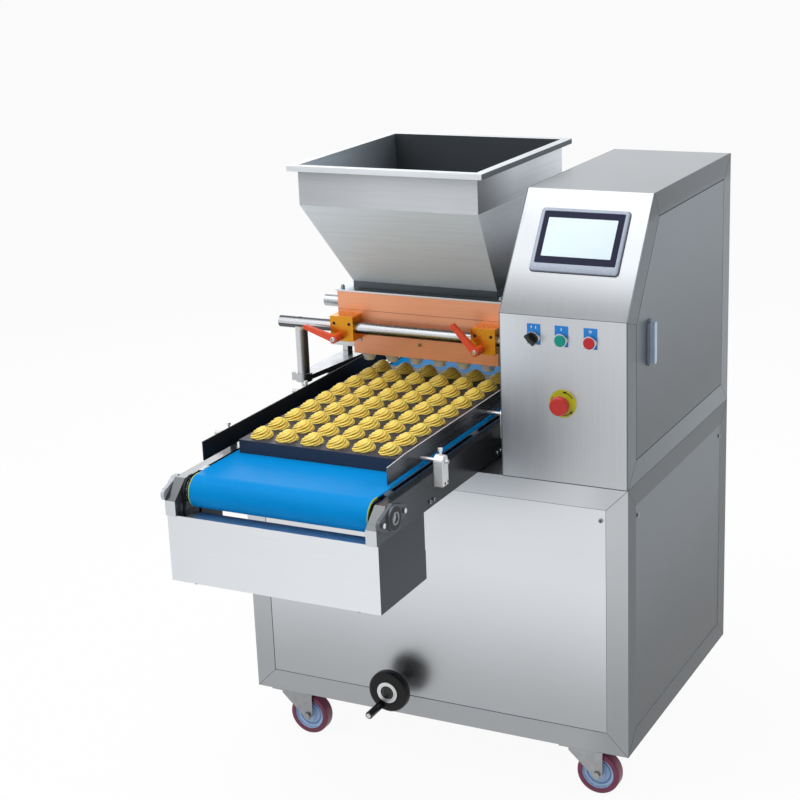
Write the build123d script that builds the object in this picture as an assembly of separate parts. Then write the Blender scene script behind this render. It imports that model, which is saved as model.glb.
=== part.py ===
from build123d import *
import os
from math import atan2, cos, degrees, hypot, pi, radians, sin

# Cookie depositing machine, millimetres. Working frame: X = 0 at the cabinet's right side,
# Y = 0 at its front face, Z = 0 at its underside. Each piece is moved to the machine's own
# frame, with the origin on the floor under the middle of its box, when it is written.

# Cabinet
cab_w = 960.0
cab_d = 710.0
cab_h = 630.0
tube = 50.0
tube_wall = 2.0
sheet = 2.0
panel_recess = 1.0
ledge_w = 105.0
gusset_w = 92.0
gusset_d = 62.0
gusset_t = 6.0
screw_head_r = 5.0
screw_head_h = 2.5
screw_inset = 12.0
screw_drop = 26.0

# Control box
box_w = 290.0
box_front_h = 367.0
box_h = 607.0
slope_run = 169.0
side_frame_t = 3.0
side_border = 52.0
door_gap = 2.0
door_t = 16.0
pivot_in = 30.0
pivot_r = 3.0
pivot_len = 8.0
pivot_block_w = 26.0
pivot_block_h = 22.0
pivot_block_t = 11.0
lock_w = 20.0
lock_h = 98.0
lock_base_t = 5.0
lock_from_front = 129.0
lock_up = 294.0
lock_lever_t = 11.0
lock_lever_w = 15.0
lock_spindle_r = 6.0
lock_cam_len = 34.0
lock_cam_w = 14.0
lock_cam_t = 4.0

# Touch screen on the slope
hmi_w = 200.0
hmi_h = 147.0
hmi_proud = 6.0
hmi_depth = 36.0
hmi_right_in = 42.5
hmi_up = 100.0
hmi_rim = 9.0
screen_w = 157.0
screen_h = 89.0
screen_t = 2.0
screen_raise = 6.5

# Switches on the front of the box
button_up = 319.0
selector_in = 210.0
start_in = 147.0
stop_in = 82.0
estop_in = 146.0
estop_up = 179.0
hole_r = 11.0
legend_w = 30.0
legend_h = 45.0
legend_t = 1.0
estop_plate_r = 31.0
collar_r = 14.8
collar_h = 9.0
barrel_len = 30.0
nut_h = 6.0
contact_w = 30.0
contact_len = 40.0
cap_r = 12.5
cap_floor = 2.0
cap_proud = 2.0
cap_clear = 0.3
cap_seat = 1.0
cap_round = 1.2
button_travel = 3.0
stem_r = 5.0
knob_h = 16.0
knob_w = 8.0
knob_half = 14.5
knob_turn = 45.0
mushroom_r = 21.0
mushroom_h = 13.0
mushroom_round = 5.0
mushroom_neck_r = 9.0
mushroom_neck = 5.8
estop_travel = 5.0

# Castors
castor_h = 125.0
castor_right_in = 122.0
castor_left_in = 82.0
castor_rear_in = 250.0
castor_y_in = 50.0
castor_plate_w = 92.0
castor_plate_t = 5.0
castor_bolt_r = 5.0
castor_bolt_h = 3.0
castor_bolt_in = 11.0
race_r = 30.0
wheel_clear = 3.0
king_pin_r = 6.0
race_collar_r = 12.0
trail = 36.0
wheel_r = 51.0
wheel_w = 32.0
tyre_t = 14.0
tyre_round = 5.0
rim_bevel = 2.0
hub_r = 17.0
web_w = 14.0
axle_r = 6.0
fork_t = 4.0
fork_gap = 3.0
fork_crown_w = 64.0
fork_foot_r = 14.0
axle_nut_r = 9.0
axle_nut_h = 6.0

# Conveyor table
conv_left_in = 115.0
box_gap = 55.0
side_t = 25.0
side_h = 71.0
side_lift = 3.0
front_reach = 487.0
conv_len = 1467.0
end_face_h = 33.0
chamfer_run = 44.0
belt_left_gap = 20.0
belt_right_gap = 5.0
belt_t = 2.5
belt_over = 8.0
roller_r = 33.2
roller_inset = 57.0
roller_shaft_r = 10.0
bed_t = 3.0
bed_end_gap = 4.0
cross_bar_w = 30.0
cross_bar_h = 25.0
cross_bar_n = 4
bearing_len = 118.0
bearing_w = 60.0
bearing_flange_t = 8.0
bearing_boss_r = 27.0
bearing_depth = 14.0
bearing_bolt_r = 5.5
bearing_bolt_span = 92.0
bearing_bolt_h = 5.0

# Drive guard and conveyor drive
guard_d = 206.0
guard_h = 148.0
guard_set = 5.0
guard_lip = 38.0
guard_back_h = 62.0
guard_bolt_r = 4.0
guard_bolt_h = 4.0
guard_bolt_in = 9.0
guard_bolt_front = 55.0
guard_bolt_side = 36.0
motor_drop = 75.0
motor_r = 42.0
motor_len = 180.0
gearcase_w = 84.0
gearcase_len = 80.0
motor_bolt_r = 6.0
motor_bolt_h = 6.0
sprocket_r = 28.0
sprocket_w = 6.0
sprocket_n = 14
sprocket_notch_r = 3.5
sprocket_back = 10.0
chain_t = 5.0
chain_w = 5.0
motor_shaft_r = 9.0
motor_shaft_len = 55.0

# Tray guides
guide_left_over = 7.0
guide_right_in = 11.0
guide_t = 3.0
guide_h = 42.0
guide_lift = 4.0
guide_set = 126.0
guide_nose_h = 37.5
guide_nose_run = 80.0
guide_rod_r = 5.0
guide_post_set = 275.0
guide_post_rear_set = 166.0
guide_post_n = 4
guide_post_w = 28.0
guide_post_t = 20.0
guide_post_seat = 31.0
guide_rod_up = 22.0
guide_rod_len = 64.0
post_screw_r = 4.0
thumb_r = 3.0
thumb_h = 8.0
thumb_head_r = 5.0
thumb_head_h = 6.0

# Tray and dough
tray_front = 278.0
tray_in = 33.0
tray_h = 30.0
tray_wall = 2.0
dough_rows = 9
dough_pitch_x = 62.7
dough_pitch_y = 70.0
dough_r = 26.5
dough_h = 24.0
tray_margin = 38.0
tray_side_margin = 35.0

# Lift under the table
lift_front = 180.0
lift_rear = 530.0
lift_beam_w = 50.0
lift_beam_h = 45.0
column_r = 12.0
column_len = 300.0
lift_bush_r = 20.0
lift_bush_h = 40.0
screw_r = 10.0
screw_over = 25.0
nut_r = 18.0
nut_len = 28.0
nut_plate_t = 10.0
nut_plate_w = 90.0
nut_plate_up = 15.0

# Handwheel and mitre gearbox
wheel_axis_right = 30.0
wheel_axis_up = 84.0
wheel_face_out = 67.0
handwheel_r = 50.0
handwheel_t = 24.0
handwheel_round = 7.0
handwheel_ring_r = 25.5
handwheel_ring_bore = 16.5
handwheel_ring_t = 2.0
handwheel_hub_r = 12.0
handwheel_hub_len = 36.0
hub_boss_r = 15.0
hub_boss_len = 6.0
boss_neck_r = 13.0
boss_neck_len = 7.0
hand_shaft_r = 8.0
grip_at_x = -20.0
grip_at_z = -36.0
grip_r = 9.0
grip_len = 58.0
grip_round = 2.5
grip_pin_r = 4.0
gearbox_w = 60.0
gearbox_wall = 6.0
mitre_out = 22.0
mitre_in = 12.0
mitre_gap = 0.5
thrust_r = 18.0
thrust_h = 10.0

# Dough head
head_y = 328.0
head_in = 35.0
head_d = 206.0
head_top_over = 330.0
head_plate_t = 4.0
head_plate_over = 2.5
block_h = 101.0
join_drop = 43.0
manifold_h = 48.0
manifold_left_in = 39.0
manifold_right_in = 15.0
manifold_screw_r = 4.0
manifold_screw_h = 3.0
manifold_screw_in = 57.0
manifold_screw_down = 14.0
nozzle_h = 24.0
nozzle_top_r = 20.0
nozzle_tip_r = 12.0
nozzle_bore_r = 7.0
nozzle_rim_h = 4.0
nozzle_forward = 64.0
acorn_r = 5.5
acorn_h = 6.0
acorn_in = 10.0

# Feed rollers and their drive
feed_r = 34.0
feed_centres = 70.0
feed_wall = 30.5
feed_shaft_r = 14.5
feed_stub = 70.0
feed_flutes = 16
flute_r = 4.0
feed_side = 1.0
feed_end = 0.5
gear_teeth = 28
gear_add = 2.2
gear_ded = 3.0
tooth_tip = 0.1
tooth_root = 0.29
gear_w = 16.0
gear_wall_gap = 4.0
drive_house_wall = 6.0
drive_house_h = 82.0
drive_house_d = 176.0
reducer_w = 80.0
reducer_len = 60.0
reducer_gap = 14.0
reducer_cover = 10.0
feed_motor_len = 110.0
feed_motor_w = 70.0
feed_motor_round = 8.0
motor_shelf_t = 10.0

# Hopper
hopper_wall = 2.0
neck_h = 16.0
cone_h = 211.0
straight_h = 92.0
hopper_over = 8.0
hopper_d = 484.0
rim_w = 18.5
rim_h = 12.5

# Clamps, cross shaft and posts
clamp_w = 61.0
clamp_d = 45.0
clamp_h = 60.0
clamp_in = 32.0
clamp_screw_span = 40.0
clamp_screw_r = 4.0
clamp_screw_up = 12.0
clamp_screw_deep = 5.0
cross_r = 14.0
cross_drop = 37.0
cross_out = 22.0
cross_left_in = 2.0
cross_flange_r = 30.0
cross_flange_t = 12.0
set_hole_r = 4.0
set_hole_deep = 8.0
lever_hub_r = 10.0
lever_hub_len = 30.0
lever_len = 84.0
lever_root_w = 16.0
lever_tip_w = 10.0
lever_t = 12.0
lever_left_turn = 163.0
lever_right_turn = 133.5
lever_in = 8.0
lever_drop = 19.0
lever_stud_r = 4.0
lever_stud_len = 15.0
clamp_round = 3.0
post_r = 15.0
front_post_in = 58.0
rear_post_in = 72.0
rear_post_y = 400.0
post_stud_r = 7.5
arm_up = 105.0
arm_t = 12.0
arm_eye_r = 20.0
arm_eye_h = 20.0
arm_lug_len = 10.0
arm_lug_w = 14.0
arm_front_w = 40.0
arm_rear_w = 64.0
foot_r = 20.0
foot_h = 10.0
rear_stud_r = 8.0
rear_nut_r = 14.0
rear_nut_h = 12.0
rear_nut_gap = 1.0
rear_bar_left = 39.0
rear_bar_right = 28.0
rear_bar_w = 30.0
rear_bar_t = 11.0
counter_w = 46.0
counter_d = 26.0
counter_h = 30.0
counter_turn = 40.0
counter_up = 63.0
counter_off_x = -18.0
counter_off_y = -36.0
counter_ring_r = 21.0
counter_ring_h = 16.0

# Control gear on the back plate
plate_side_gap = 20.0
plate_low = 60.0
plate_top_gap = 107.0
plate_standoff = 6.0
plate_standoff_r = 8.0
module_n = 3
module_h = 150.0
module_d = 110.0
module_gap = 14.0
rail_h = 35.0
rail_d = 45.0

# Clearances
run_fit = 0.05
seat_gap = 0.3
hole_clear = 2.0

# Derived places
left = -cab_w
box_left = -box_w
conv_w = cab_w - conv_left_in - box_gap - box_w
line_x = left + conv_left_in + conv_w / 2
box_z = cab_h
box_top = cab_h + box_h
fold_z = cab_h + box_front_h
side_z0 = cab_h + side_lift
side_z1 = side_z0 + side_h
conv_x0 = line_x - conv_w / 2
conv_x1 = line_x + conv_w / 2
conv_y0 = -front_reach
conv_y1 = conv_y0 + conv_len
belt_top = side_z1 + belt_over
belt_in_r = roller_r + seat_gap
belt_r = belt_in_r + belt_t
roller_z = belt_top - belt_r
roller_front = conv_y0 + roller_inset
roller_rear = conv_y1 - roller_inset
belt_x0 = conv_x0 + side_t + belt_left_gap
belt_x1 = conv_x1 - side_t - belt_right_gap
guide_left_x = conv_x0 + side_t - guide_left_over
guide_right_x = conv_x1 - side_t - guide_right_in
ledge_x = left + ledge_w
box_rail = (box_left - tube / 2, box_left + tube / 2)
head_top = cab_h + head_top_over
block_top = head_top - head_plate_t
block_z = block_top - block_h
join_z = block_top - join_drop
manifold_z = block_z - manifold_h
nozzle_y = head_y - nozzle_forward
head_w = conv_w - 2 * head_in
head_x0 = line_x - head_w / 2
head_x1 = line_x + head_w / 2
head_front = head_y - head_d / 2
head_back = head_y + head_d / 2
feed_len = head_w - 2 * feed_wall
clamp_span = head_w - 2 * clamp_in
cavity_x = feed_len / 2 + feed_end
cavity_y = feed_centres / 2 + feed_r + feed_side
cross_y = head_front - cross_out
cross_z = join_z - cross_drop
front_post_x = left + front_post_in
rear_post_x = left + rear_post_in
arm_z = cab_h + arm_up
tray_w = conv_w - 2 * (side_t + tray_in)
dough_cols = 1 + int((tray_w - 2 * tray_side_margin) / dough_pitch_x)
tray_y0 = -tray_front
tray_y1 = tray_y0 + 2 * tray_margin + (dough_rows - 1) * dough_pitch_y
tray_top = belt_top + tray_h
wheel_axis_x = line_x + wheel_axis_right
jack_y = (lift_front + lift_rear) / 2
lift_z1 = side_z0 - column_len
lift_z0 = lift_z1 - lift_beam_h
nut_plate_z = lift_z0 + nut_plate_up
profile = [(0, box_z), (cab_d, box_z), (cab_d, box_top), (slope_run, box_top), (0, fold_z)]
lock_y = lock_from_front
lock_z = box_z + lock_up
lock_pivot_z = lock_z + (lock_h - lock_w) / 2
lock_out = lock_base_t + seat_gap + lock_lever_t
pivot_x = -door_t / 2
pivot_y = cab_d - side_border - door_gap - pivot_in

# The machine's own origin
x_mid = (left + lock_out) / 2
y_mid = (conv_y0 + conv_y1) / 2
to_frame = Location((-x_mid, -y_mid, castor_h))


# Shape helpers


def block(x, y, z):
    """Box from its low and high limits along each axis."""
    size = (x[1] - x[0], y[1] - y[0], z[1] - z[0])
    return Pos(x[0], y[0], z[0]) * Box(*size, align=(Align.MIN, Align.MIN, Align.MIN))


def rod(axis, low, high, a, b, radius):
    """Cylinder along an axis; a and b are its place on the other two axes, in order."""
    middle = (low + high) / 2
    turn, place = {
        "x": (Rot(0, 90, 0), (middle, a, b)),
        "y": (Rot(90, 0, 0), (a, middle, b)),
        "z": (Rot(0, 0, 0), (a, b, middle)),
    }[axis]
    return Pos(*place) * turn * Cylinder(radius, high - low)


def prism(axis, points, low, high):
    """Polygon in the plane square to an axis, drawn out from low to high."""
    ways = {"x": (1, 0, 0), "y": (0, 1, 0), "z": (0, 0, 1)}
    lift = {
        "x": lambda a, b: (low, a, b),
        "y": lambda a, b: (a, low, b),
        "z": lambda a, b: (a, b, low),
    }[axis]
    face = Face(Wire.make_polygon([lift(a, b) for a, b in points], close=True))
    return extrude(face, amount=high - low, dir=ways[axis])


def turned(points, axis, place):
    """Solid of revolution: points are (radius, distance along the axis) from place."""
    face = Face(Wire.make_polygon([(r, 0, h) for r, h in points], close=True))
    shape = revolve(face, axis=Axis.Z)
    turn = {"z": Rot(0, 0, 0), "x": Rot(0, 90, 0), "y": Rot(-90, 0, 0)}[axis]
    return Pos(*place) * turn * shape


def inset(points, width):
    """Convex polygon, listed anticlockwise, moved inwards by a width."""
    count = len(points)
    lines = []
    for i in range(count):
        (ax, ay), (bx, by) = points[i], points[(i + 1) % count]
        length = hypot(bx - ax, by - ay)
        nx, ny = -(by - ay) / length, (bx - ax) / length
        lines.append((nx, ny, nx * ax + ny * ay + width))
    moved = []
    for i in range(count):
        a1, b1, c1 = lines[i - 1]
        a2, b2, c2 = lines[i]
        det = a1 * b2 - a2 * b1
        moved.append(((c1 * b2 - c2 * b1) / det, (a1 * c2 - a2 * c1) / det))
    return moved


def mitred(axis, points, width, low, high, skip=()):
    """Frame of mitred strips round a polygon, one strip for each edge that isn't skipped."""
    inner = inset(points, width)
    count = len(points)
    strips = []
    for i in range(count):
        if i not in skip:
            j = (i + 1) % count
            strips.append(prism(axis, [points[i], points[j], inner[j], inner[i]], low, high))
    return strips


def square_tube(axis, x, y, z):
    """Hollow tube of rectangular section with a cap let into each end: three solids."""
    inner = {k: (v[0] + tube_wall, v[1] - tube_wall) for k, v in (("x", x), ("y", y), ("z", z))}
    low, high = {"x": x, "y": y, "z": z}[axis]
    solids = []
    for span in ((low, low + tube_wall), (high - tube_wall, high)):
        solids.append(block(**{**inner, axis: span}))
    bore = block(**{**inner, axis: (low, high)})
    return [block(x, y, z) - bore] + solids


def hexagon(radius, turn=0.0):
    return [(radius * cos(radians(turn + 60 * i)), radius * sin(radians(turn + 60 * i))) for i in range(6)]


def hex_prism(axis, low, high, a, b, radius):
    return prism(axis, [(a + u, b + v) for u, v in hexagon(radius)], low, high)


def write(node, *shapes):
    """Move a node's solids to the machine's frame and write them as one file."""
    solids = [solid.moved(to_frame) for shape in shapes for solid in shape.solids()]
    export_step(solids[0] if len(solids) == 1 else Compound(solids), f"parts/{node}.step")


# Cabinet


def cabinet_frame():
    low = (0, tube)
    high = (cab_h - tube, cab_h)
    sides = [(left, left + tube), (-tube, 0)]
    ends = [(0, tube), (cab_d - tube, cab_d)]
    between_x = (left + tube, -tube)
    between_y = (tube, cab_d - tube)
    tubes = []
    for y in ends:
        for x in sides:
            tubes += square_tube("z", x, y, (0, cab_h))
        for z in (low, high):
            tubes += square_tube("x", between_x, y, z)
    for x in sides:
        tubes += square_tube("y", x, between_y, low)
    for x in ((left, ledge_x), box_rail, sides[1]):
        tubes += square_tube("y", x, between_y, high)
    for castor_x, castor_y in castor_places():
        x = (max(castor_x - gusset_w / 2, left + tube), min(castor_x + gusset_w / 2, -tube))
        y = (tube, tube + gusset_d) if castor_y < cab_d / 2 else (cab_d - tube - gusset_d, cab_d - tube)
        tubes.append(block(x, y, (0, gusset_t)))
    return tubes


def cabinet_panels():
    inside_x = (left + tube, -tube)
    inside_y = (tube, cab_d - tube)
    inside_z = (tube, cab_h - tube)
    near = (panel_recess, panel_recess + sheet)
    front = block(inside_x, near, inside_z) - rod("y", *near, wheel_axis_x, wheel_axis_up, boss_neck_r)
    back = block(inside_x, (cab_d - near[1], cab_d - near[0]), inside_z)
    right_side = block((-near[1], -near[0]), inside_y, inside_z)
    left_side = block((left + near[0], left + near[1]), inside_y, inside_z)
    floor = block(inside_x, (tube / 2, cab_d - tube / 2), (tube, tube + sheet))
    top_z = (cab_h - sheet, cab_h)
    top = block((ledge_x, box_rail[0]), inside_y, top_z)
    for x, y in lift_places():
        top -= rod("z", *top_z, x, y, column_r + hole_clear)
    return front, back, right_side, left_side, floor, top


def panel_screws():
    """Round heads near the upper corners of the panels, which are hooked in below."""
    heads = []
    high = cab_h - tube - screw_drop
    back = cab_d - panel_recess
    for x in (left + tube + screw_inset, -tube - screw_inset):
        heads.append(rod("y", panel_recess - screw_head_h, panel_recess, x, high, screw_head_r))
        heads.append(rod("y", back, back + screw_head_h, x, high, screw_head_r))
    for y in (tube + screw_inset, cab_d - tube - screw_inset):
        heads.append(rod("x", -panel_recess, screw_head_h - panel_recess, y, high, screw_head_r))
    return heads


# Control box


def box_wrap():
    """Front, slope, top and back of the box, one mitred sheet each; the front is drilled and the
    slope is cut out for the screen."""
    x = (box_left + sheet, -side_frame_t)
    back, top, slope, front = mitred("x", profile, sheet, *x, skip=(0,))
    for place, z in switch_places():
        front -= rod("y", 0, sheet, place, z, hole_r)
    slope -= hmi_block(hmi_rim, -hmi_depth, hmi_proud)
    return back, top, slope, front


def switch_places():
    row = [(-selector_in, box_z + button_up), (-start_in, box_z + button_up), (-stop_in, box_z + button_up)]
    return row + [(-estop_in, box_z + estop_up)]


def on_slope(shape):
    """Carry a shape from a flat drawing, X along the slope's foot and Y up it, to the slope."""
    tilt = degrees(atan2(box_top - fold_z, slope_run))
    return Pos(0, 0, fold_z) * Rot(tilt, 0, 0) * shape


def hmi_block(rim, low, high):
    x = (-hmi_right_in - hmi_w + rim, -hmi_right_in - rim)
    return on_slope(block(x, (hmi_up + rim, hmi_up + hmi_h - rim), (low, high)))


def screen_limits():
    middle_x = -hmi_right_in - hmi_w / 2
    middle_y = hmi_up + hmi_h / 2 + screen_raise
    return (
        (middle_x - screen_w / 2, middle_x + screen_w / 2),
        (middle_y - screen_h / 2, middle_y + screen_h / 2),
    )


def hmi_case():
    x, y = screen_limits()
    case = hmi_block(0, 0, hmi_proud) + hmi_block(hmi_rim + hole_clear / 2, -hmi_depth, hmi_proud / 2)
    return case - on_slope(block(x, y, (hmi_proud - screen_t, hmi_proud)))


def hmi_screen():
    x, y = screen_limits()
    return on_slope(block(x, y, (hmi_proud - screen_t, hmi_proud - screen_t / 2)))


def box_sides():
    left_sheet = prism("x", profile, box_left, box_left + sheet)
    for y in feed_axes():
        left_sheet -= rod("x", box_left, box_left + sheet, y, join_z, feed_shaft_r + hole_clear)
    strips = mitred("x", profile, side_border, -side_frame_t, 0)
    pivots = [door_pivot(box_z + side_border, 1), door_pivot(box_top - side_border, -1)]
    return [left_sheet] + strips + pivots


def door_pivot(edge, way):
    """Block behind the frame with a pin that stands into the door; way is 1 below it and -1 above."""
    x = (-side_frame_t - pivot_block_t, -side_frame_t)
    y = (pivot_y - pivot_block_w / 2, pivot_y + pivot_block_w / 2)
    pivot = block(x, y, sorted((edge - way * pivot_block_h, edge)))
    tip = edge + way * (door_gap + sheet + pivot_len)
    return pivot + rod("z", *sorted((edge - way * pivot_block_h, tip)), pivot_x, pivot_y, pivot_r)


def door():
    outline = inset(profile, side_border + door_gap)
    skin = prism("x", outline, -door_t, 0)
    skin -= prism("x", inset(outline, sheet), -door_t, -sheet)
    low = box_z + side_border + door_gap
    high = box_top - side_border - door_gap
    for lip in ((low, low + sheet), (high - sheet, high)):
        skin -= rod("z", *lip, pivot_x, pivot_y, pivot_r + run_fit)
    bore = rod("x", -door_t, lock_base_t, lock_y, lock_pivot_z, lock_spindle_r + run_fit)
    base = block(
        (0, lock_base_t),
        (lock_y - lock_w / 2, lock_y + lock_w / 2),
        (lock_z - lock_h / 2, lock_z + lock_h / 2),
    )
    return skin - bore, base - bore


def lock_handle():
    pivot_z = lock_pivot_z
    x0 = lock_base_t + seat_gap
    x1 = x0 + lock_lever_t
    half = lock_lever_w / 2
    foot = lock_z - lock_h / 2 + lock_w / 2
    lever = block((x0, x1), (lock_y - half, lock_y + half), (foot, pivot_z))
    lever += rod("x", x0, x1, lock_y, pivot_z, half)
    lever += rod("x", x0, x1, lock_y, foot, half)
    cam_x = (-door_t - lock_cam_t, -door_t)
    lever += rod("x", cam_x[0], x1, lock_y, pivot_z, lock_spindle_r)
    cam_y = (lock_y - lock_cam_w / 2, lock_y + lock_cam_w / 2)
    return lever + block(cam_x, cam_y, (pivot_z - lock_cam_len, pivot_z))


def legend_plates():
    plates = []
    for x, z in switch_places()[:3]:
        high = z + legend_h - collar_r
        plate = block((x - legend_w / 2, x + legend_w / 2), (-legend_t, 0), (z - collar_r, high))
        plates.append(plate - rod("y", -legend_t, 0, x, z, hole_r))
    x, z = switch_places()[3]
    plates.append(rod("y", -legend_t, 0, x, z, estop_plate_r) - rod("y", -legend_t, 0, x, z, hole_r))
    return plates


def button_collars():
    """Bezel, barrel, nut and contact block of each switch, bored for its stem."""
    collars = []
    front = -legend_t - collar_h
    for x, z in switch_places():
        collar = rod("y", front, -legend_t, x, z, collar_r)
        collar += rod("y", -legend_t, barrel_len, x, z, hole_r - run_fit)
        collar += rod("y", sheet, sheet + nut_h, x, z, collar_r)
        half = contact_w / 2
        contact = (barrel_len, barrel_len + contact_len)
        collar += block((x - half, x + half), contact, (z - half, z + half))
        collar -= rod("y", front, -legend_t - cap_floor, x, z, cap_r + cap_clear)
        collar -= rod("y", front, barrel_len, x, z, stem_r + run_fit)
        collars.append(collar)
    return collars


def cap_back(travel):
    """Back of a cap at rest, its travel short of the collar's floor."""
    return -legend_t - cap_floor - travel - cap_seat


def stem_end(travel):
    return barrel_len - travel - cap_seat


def push_button(x, z):
    front = -legend_t - collar_h - cap_proud
    back = cap_back(button_travel)
    cap = rod("y", front, back, x, z, cap_r)
    cap = fillet(cap.faces().sort_by(Axis.Y)[0].edges(), cap_round)
    return cap + rod("y", back, stem_end(button_travel), x, z, stem_r)


def selector_knob():
    x, z = switch_places()[0]
    face = -legend_t - collar_h - seat_gap
    back = cap_back(0)
    knob = rod("y", face - cap_proud, back, x, z, cap_r)
    bar = block((-knob_half, knob_half), (face - knob_h, face), (-knob_w / 2, knob_w / 2))
    bar = fillet(bar.edges().filter_by(Axis.Y), knob_w * 0.4)
    knob += Pos(x, 0, z) * Rot(0, knob_turn, 0) * bar
    return knob + rod("y", back, stem_end(button_travel), x, z, stem_r)


def estop_head():
    x, z = switch_places()[3]
    front = -legend_t - collar_h
    neck = front - mushroom_neck
    head = rod("y", neck - mushroom_h, neck, x, z, mushroom_r)
    head = fillet(head.faces().sort_by(Axis.Y)[0].edges(), mushroom_round)
    back = cap_back(estop_travel)
    head += rod("y", neck, back, x, z, mushroom_neck_r)
    return head + rod("y", back, stem_end(estop_travel), x, z, stem_r)


def control_gear():
    """Back plate on standoffs with two drives, a controller, a power supply and a terminal rail."""
    face = cab_d - sheet - plate_standoff - sheet
    x = (box_left + sheet + plate_side_gap, -side_frame_t - door_t - plate_side_gap)
    z = (box_z + plate_low, box_top - plate_top_gap)
    pieces = [block(x, (face, face + sheet), z)]
    for px in (x[0] + module_gap, x[1] - module_gap):
        for pz in (z[0] + module_gap, z[1] - module_gap):
            pieces.append(rod("y", face + sheet, cab_d - sheet, px, pz, plate_standoff_r))
    low = z[0] + rail_h + 2 * module_gap
    module_w = (x[1] - x[0] - (module_n + 1) * module_gap) / module_n
    for row, scale in enumerate((1.0, 0.8)):
        base = low + row * (module_h + module_gap)
        for column in range(module_n):
            mx = x[0] + module_gap + column * (module_w + module_gap)
            body_y = (face - scale * module_d, face)
            pieces.append(block((mx, mx + module_w), body_y, (base, base + scale * module_h)))
    rail_x = (x[0] + module_gap, x[1] - module_gap)
    rail_z = z[0] + module_gap
    pieces.append(block(rail_x, (face - rail_d, face), (rail_z, rail_z + rail_h)))
    return pieces


# Castors


def castor_places():
    front = [(-castor_right_in, castor_y_in), (left + castor_left_in, castor_y_in)]
    rear_y = cab_d - castor_y_in
    return front + [(-castor_rear_in, rear_y), (left + castor_rear_in, rear_y)]


def castor_plate(x, y):
    half = castor_plate_w / 2
    plate = block((x - half, x + half), (y - half, y + half), (-castor_plate_t, 0))
    plate -= rod("z", -castor_plate_t, 0, x, y, king_pin_r + run_fit)
    bolt_z = (-castor_plate_t - castor_bolt_h, -castor_plate_t)
    for dx in (castor_bolt_in - half, half - castor_bolt_in):
        for dy in (castor_bolt_in - half, half - castor_bolt_in):
            plate += hex_prism("z", *bolt_z, x + dx, y + dy, castor_bolt_r)
    return plate


def castor_fork(x, y):
    """Race, king pin, crown, two legs and the axle with its nuts; the wheel trails to the right."""
    race_top = -castor_plate_t - castor_bolt_h - seat_gap
    axle_x, axle_z = x + trail, wheel_r - castor_h
    crown = axle_z + wheel_r + wheel_clear + fork_t
    fork = rod("z", crown, race_top, x, y, race_r)
    fork += rod("z", crown, -seat_gap, x, y, king_pin_r)
    fork += rod("z", crown, -castor_plate_t - seat_gap, x, y, race_collar_r)
    inner = wheel_w / 2 + fork_gap
    outer = inner + fork_t
    low = x - fork_crown_w / 2
    fork += block((low, axle_x + fork_foot_r), (y - outer, y + outer), (crown - fork_t, crown))
    leg = [
        (low, crown),
        (low, crown - 2 * fork_t),
        (axle_x - fork_foot_r, axle_z),
        (axle_x, axle_z - fork_foot_r),
        (axle_x + fork_foot_r, axle_z),
        (axle_x + fork_foot_r, crown),
    ]
    for side in ((y - outer, y - inner), (y + inner, y + outer)):
        fork += prism("y", leg, *side)
    fork += rod("y", y - outer, y + outer, axle_x, axle_z, axle_r)
    for side in ((y - outer - axle_nut_h, y - outer), (y + outer, y + outer + axle_nut_h)):
        fork += hex_prism("y", *side, axle_x, axle_z, axle_nut_r)
    return fork


def castor_wheel(x, y):
    half = wheel_w / 2
    rim = wheel_r - tyre_t
    outline = [
        (axle_r + run_fit, -half),
        (hub_r, -half),
        (hub_r, -web_w / 2),
        (rim, -web_w / 2),
        (rim, -half + rim_bevel),
        (rim + rim_bevel, -half),
        (wheel_r - tyre_round, -half),
        (wheel_r - 0.3 * tyre_round, -half + 0.3 * tyre_round),
        (wheel_r, -half + tyre_round),
    ]
    mirror = [(r, -h) for r, h in reversed(outline)]
    return turned(outline + mirror, "y", (x + trail, y, wheel_r - castor_h))


# Conveyor table


def conveyor_sides():
    high = side_z0 + end_face_h
    outline = [
        (conv_y0, side_z0),
        (conv_y1, side_z0),
        (conv_y1, high),
        (conv_y1 - chamfer_run, side_z1),
        (conv_y0 + chamfer_run, side_z1),
        (conv_y0, high),
    ]
    sides = []
    for x in ((conv_x0, conv_x0 + side_t), (conv_x1 - side_t, conv_x1)):
        side = prism("x", outline, *x)
        for y in (roller_front, roller_rear):
            side -= rod("x", *x, y, roller_z, roller_shaft_r + hole_clear)
        sides.append(side)
    return sides


def race(radius, x):
    """Loop shape round both belt rollers."""
    loop = block(x, (roller_front, roller_rear), (roller_z - radius, roller_z + radius))
    loop += rod("x", *x, roller_front, roller_z, radius)
    return loop + rod("x", *x, roller_rear, roller_z, radius)


def belt():
    x = (belt_x0, belt_x1)
    return race(belt_r, x) - race(belt_in_r, x)


def belt_bed():
    top = roller_z + belt_in_r
    y = (roller_front + roller_r + bed_end_gap, roller_rear - roller_r - bed_end_gap)
    bed = block((belt_x0, belt_x1), y, (top - bed_t, top))
    bars = []
    step = (y[1] - y[0] - cross_bar_w) / (cross_bar_n - 1)
    for i in range(cross_bar_n):
        low = y[0] + i * step
        x = (conv_x0 + side_t, conv_x1 - side_t)
        bars.append(block(x, (low, low + cross_bar_w), (top - bed_t - cross_bar_h, top - bed_t)))
    return [bed] + bars


def belt_roller(y, sprocket):
    drum = rod("x", belt_x0, belt_x1, y, roller_z, roller_r)
    reach = bearing_depth - hole_clear
    drum += rod("x", conv_x0 - reach, conv_x1 + reach, y, roller_z, roller_shaft_r)
    if sprocket:
        drum += sprocket_wheel(y, roller_z)
    return drum


def sprocket_x():
    middle = belt_x0 - sprocket_back - sprocket_w / 2
    return (middle - sprocket_w / 2, middle + sprocket_w / 2)


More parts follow.
